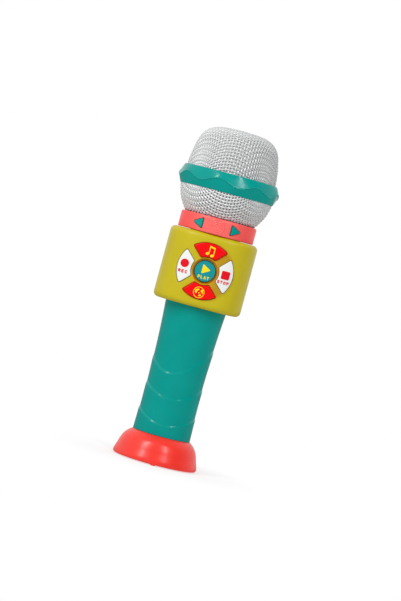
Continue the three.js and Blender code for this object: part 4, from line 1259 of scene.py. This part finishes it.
def coil(x, y, start, end, turns=4.5, count=150):
    """A tapering contact spring from its plate to the cell."""
    share = np.linspace(0, 1, count)
    angles = share * turns * TAU
    radius = 3.6 - 1.4 * share
    path = circle(radius, start + (end - start) * share, angles) + (x, y, 0)
    return loft(tube(path, np.tile((0.0, 0.0, 1.0), (count, 1)), 0.35, 8))


def contact_strip(x, y, low, high):
    """A thin pressed plate with rounded corners."""
    outline = np.array(soften([(-4, -5), (4, -5), (4, 5), (-4, 5)], 1.2, 5)) + (x, y)
    return loft([np.column_stack([outline, np.full(len(outline), z)]) for z in (low, high)])


def build_cells():
    """Both cells, wrapped in foil, with a spring at one end and a dimpled plate at the other."""
    wrap = cell_wrap()
    for side in ("left", "right"):
        (x0, y0, z0), (x1, y1, z1) = corners("battery_" + side)
        x, y, radius, length = (x0 + x1) / 2, (y0 + y1) / 2, (x1 - x0) / 2, z1 - z0
        body = length - 1.2
        nub = soften([(0, length), (2.75, length), (2.75, body), (radius - 1.2, body)], 0.4, 4, closed=False)
        profile = nub + [(radius, body - 0.4), (radius, 0.5), (radius - 0.5, 0)]
        profile += [(4.6, 0), (4.4, 0.25), (0, 0.25)]
        cell = turned(profile[::-1], 72)
        if side == "right":
            cell = moved(cell, Matrix.Translation((0, 0, length)) @ Matrix.Rotation(math.pi, 4, "X"))
        cell = moved(cell, Matrix.Translation((x, y, z0)))
        add_piece("cell_" + side, cell, wrap, "battery_" + side)
        add_contacts(side, x, y)


def add_contacts(side, x, y):
    spring_low, spring_high = (c[2] for c in corners("battery_spring_" + side))
    contact_low, contact_high = (c[2] for c in corners("battery_contact_" + side))
    if side == "right":
        plate, start, end = (spring_high - 0.5, spring_high), spring_high - 0.7, spring_low + 0.4
        flat, dimple = (contact_low, contact_low + 0.5), (contact_low + 0.4, contact_high)
    else:
        plate, start, end = (spring_low, spring_low + 0.5), spring_low + 0.7, spring_high - 0.4
        flat, dimple = (contact_high - 0.5, contact_high), (contact_high - 0.4, contact_low)
    spring = together(coil(x, y, start, end), contact_strip(x, y, *plate))
    add_piece("coil_" + side, spring, BRIGHT, "battery_spring_" + side, sharp=40)
    low, high = dimple
    rise = high - low
    profile = [(0, low), (1.9, low), (1.7, low + 0.6 * rise), (1.2, low + 0.92 * rise), (0, high)]
    knob = moved(turned(profile, 32), Matrix.Translation((x, y, 0)))
    add_piece("dimple_" + side, join(contact_strip(x, y, *flat), knob), BRIGHT, "battery_contact_" + side)


def build_domes():
    """The rubber domes, which on the toy flatten as their buttons are pressed; each gets a mesh of its own.
    """
    for name in ("song", "globe", "record", "stop", "play", "arrow_left", "arrow_right"):
        arrow = name.startswith("arrow")
        node = name.replace("arrow", "arrow_dome") if arrow else name + "_dome"
        (x0, top, z0), (x1, base, z1) = corners(node)
        size = (x1 - x0) / 7.2
        crown = top + 1
        outline = [(0, crown + 0.2), (1.4, crown + 0.4), (2.8, base), (3.6, base), (3.6, base - 0.5),
                   (2.9, base - 0.7), (2.3, crown), (2.1, top + 0.2), (1.8, top), (0, top)]
        shape = turned_along_y([(r * size, y) for r, y in outline], (x0 + x1) / 2, (z0 + z1) / 2, 40)
        piece = add_piece(node + "_rubber", shape, GREY_RUBBER, node)
        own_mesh(piece)


def dress_inside():
    """Gives each carried-over CAD node its material."""
    plan = {
        "power_switch_knob": BLACK, "power_switch_body": BRIGHT,
        "head_frame": INNER_WHITE, "main_board": BOARD, "arrow_board": BOARD, "led_board": BOARD,
        "sound_chip": BLACK, "capacitor": BRIGHT, "mic_holder": DARK_RUBBER, "mic_capsule": BRIGHT,
        "speaker_basket": STEEL, "speaker_magnet": STEEL, "speaker_cone": paper_cone(),
        "led_red": clear_lens("lens_red", srgb(220, 40, 30)),
        "led_green": clear_lens("lens_green", srgb(40, 180, 70)),
        "led_blue": clear_lens("lens_blue", srgb(40, 100, 230)),
        "wire_battery": rubber("wire_red", srgb(196, 36, 30), 0.45),
        "wire_speaker": rubber("wire_black", srgb(34, 34, 36), 0.45),
        "wire_microphone": rubber("wire_white", srgb(220, 220, 214), 0.45),
    }
    for node, material in plan.items():
        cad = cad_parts[node]
        cad.data.materials.clear()
        cad.data.materials.append(material)


# ------------------------------------------------------------ floor, light and camera
def build_floor():
    """A pale floor that fades into the white surroundings away from the object, and is dim in reflections."""
    bpy.ops.mesh.primitive_circle_add(vertices=96, radius=3.0, fill_type="NGON")
    floor = bpy.context.active_object
    floor.name = "floor"
    nodes = Paint("pale_floor")
    speckle = nodes.span(nodes.noise(40.0), 0.90, 0.94)
    nodes.set(Base_Color=speckle, Roughness=0.9, Specular_IOR_Level=0.1)
    fade = nodes.span(nodes.length(nodes.place()), 0.6, 1.0, 0.03, 0.08)
    path = nodes.add("ShaderNodeLightPath").outputs
    white = nodes.mix(path["Is Camera Ray"], (0.85, 0.85, 0.85, 1), (1, 1, 1, 1))
    white = nodes.mix(path["Is Glossy Ray"], white, (0.22, 0.22, 0.22, 1))
    white = nodes.add("ShaderNodeEmission", {"Color": white, "Strength": 1.0})
    blend = nodes.add("ShaderNodeMixShader", {0: fade, 1: nodes.shader.outputs[0], 2: white.outputs[0]})
    nodes.feed(nodes.tree.nodes["Material Output"].inputs["Surface"], blend.outputs[0])
    nodes.material.cycles.emission_sampling = "NONE"
    floor.data.materials.append(nodes.material)


def build_world():
    """White all round for the camera. The object gets even light, and reflects a bright left side."""
    world = bpy.data.worlds.new("studio")
    bpy.context.scene.world = world
    world.cycles.sampling_method = "NONE"
    world.use_nodes = True
    nodes = Nodes(world.node_tree)
    direction = nodes.add("ShaderNodeTexCoord").outputs["Generated"]
    path = nodes.add("ShaderNodeLightPath").outputs

    def ramp(axis, start, end, low, high):
        return nodes.span(nodes.axis(direction, axis), low, high, start, end)

    diffuse = ramp("Y", -0.3, 0.5, 0.36, 0.92)
    glossy = nodes.blend(ramp("Y", -0.2, 0.5, 0.0, 1.0), ramp("X", -0.9, 0.5, 0.95, 0.02), 0.85)
    strength = nodes.blend(path["Is Glossy Ray"], diffuse, glossy)
    strength = nodes.blend(path["Is Camera Ray"], strength, 1.0)
    background = nodes.tree.nodes["Background"]
    nodes.feed(background.inputs["Strength"], strength)
    nodes.feed(background.inputs["Color"], (1, 1, 1, 1))


def soft_light(name, azimuth, elevation, width, tall, power, distance=1.3):
    """A softbox that faces the middle of the object; azimuth 0 is in front, and right is positive."""
    light = bpy.data.lights.new(name, "AREA")
    light.shape = "RECTANGLE"
    light.size, light.size_y = width, tall
    light.energy = power
    lamp = bpy.data.objects.new(name, light)
    around, up = math.radians(azimuth), math.radians(elevation)
    away = Vector((math.sin(around) * math.cos(up), -math.cos(around) * math.cos(up), math.sin(up)))
    lamp.location = Vector((0, 0, 0.12)) + distance * away
    lamp.rotation_euler = (-away).to_track_quat("-Z", "Y").to_euler()
    bpy.context.scene.collection.objects.link(lamp)


def build_camera():
    """From a little above the middle and far off, rolled so that the object leans to the right."""
    data = bpy.data.cameras.new("camera")
    camera = bpy.data.objects.new("camera", data)
    bpy.context.scene.collection.objects.link(camera)
    aim, stand = Vector((0.0020, 0, 0.1179)), Vector((0.022, -1.7, 0.160))
    seen_height, roll = 0.4207, math.radians(15.13)
    data.sensor_fit = "VERTICAL"
    data.sensor_height = 24
    data.lens = 24 * (aim - stand).length / seen_height
    turn = (aim - stand).to_track_quat("-Z", "Y").to_matrix() @ Matrix.Rotation(roll, 3, "Z")
    camera.matrix_world = Matrix.Translation(stand) @ turn.to_4x4()
    bpy.context.scene.camera = camera


build_outside()
build_screws()
build_cells()
build_domes()
dress_inside()
build_floor()
build_world()
soft_light("key", azimuth=-42, elevation=36, width=0.13, tall=0.75, power=7.6)
soft_light("fill", azimuth=27, elevation=37, width=0.10, tall=0.70, power=5.0)
build_camera()
bpy.context.scene.view_settings.view_transform = "Standard"
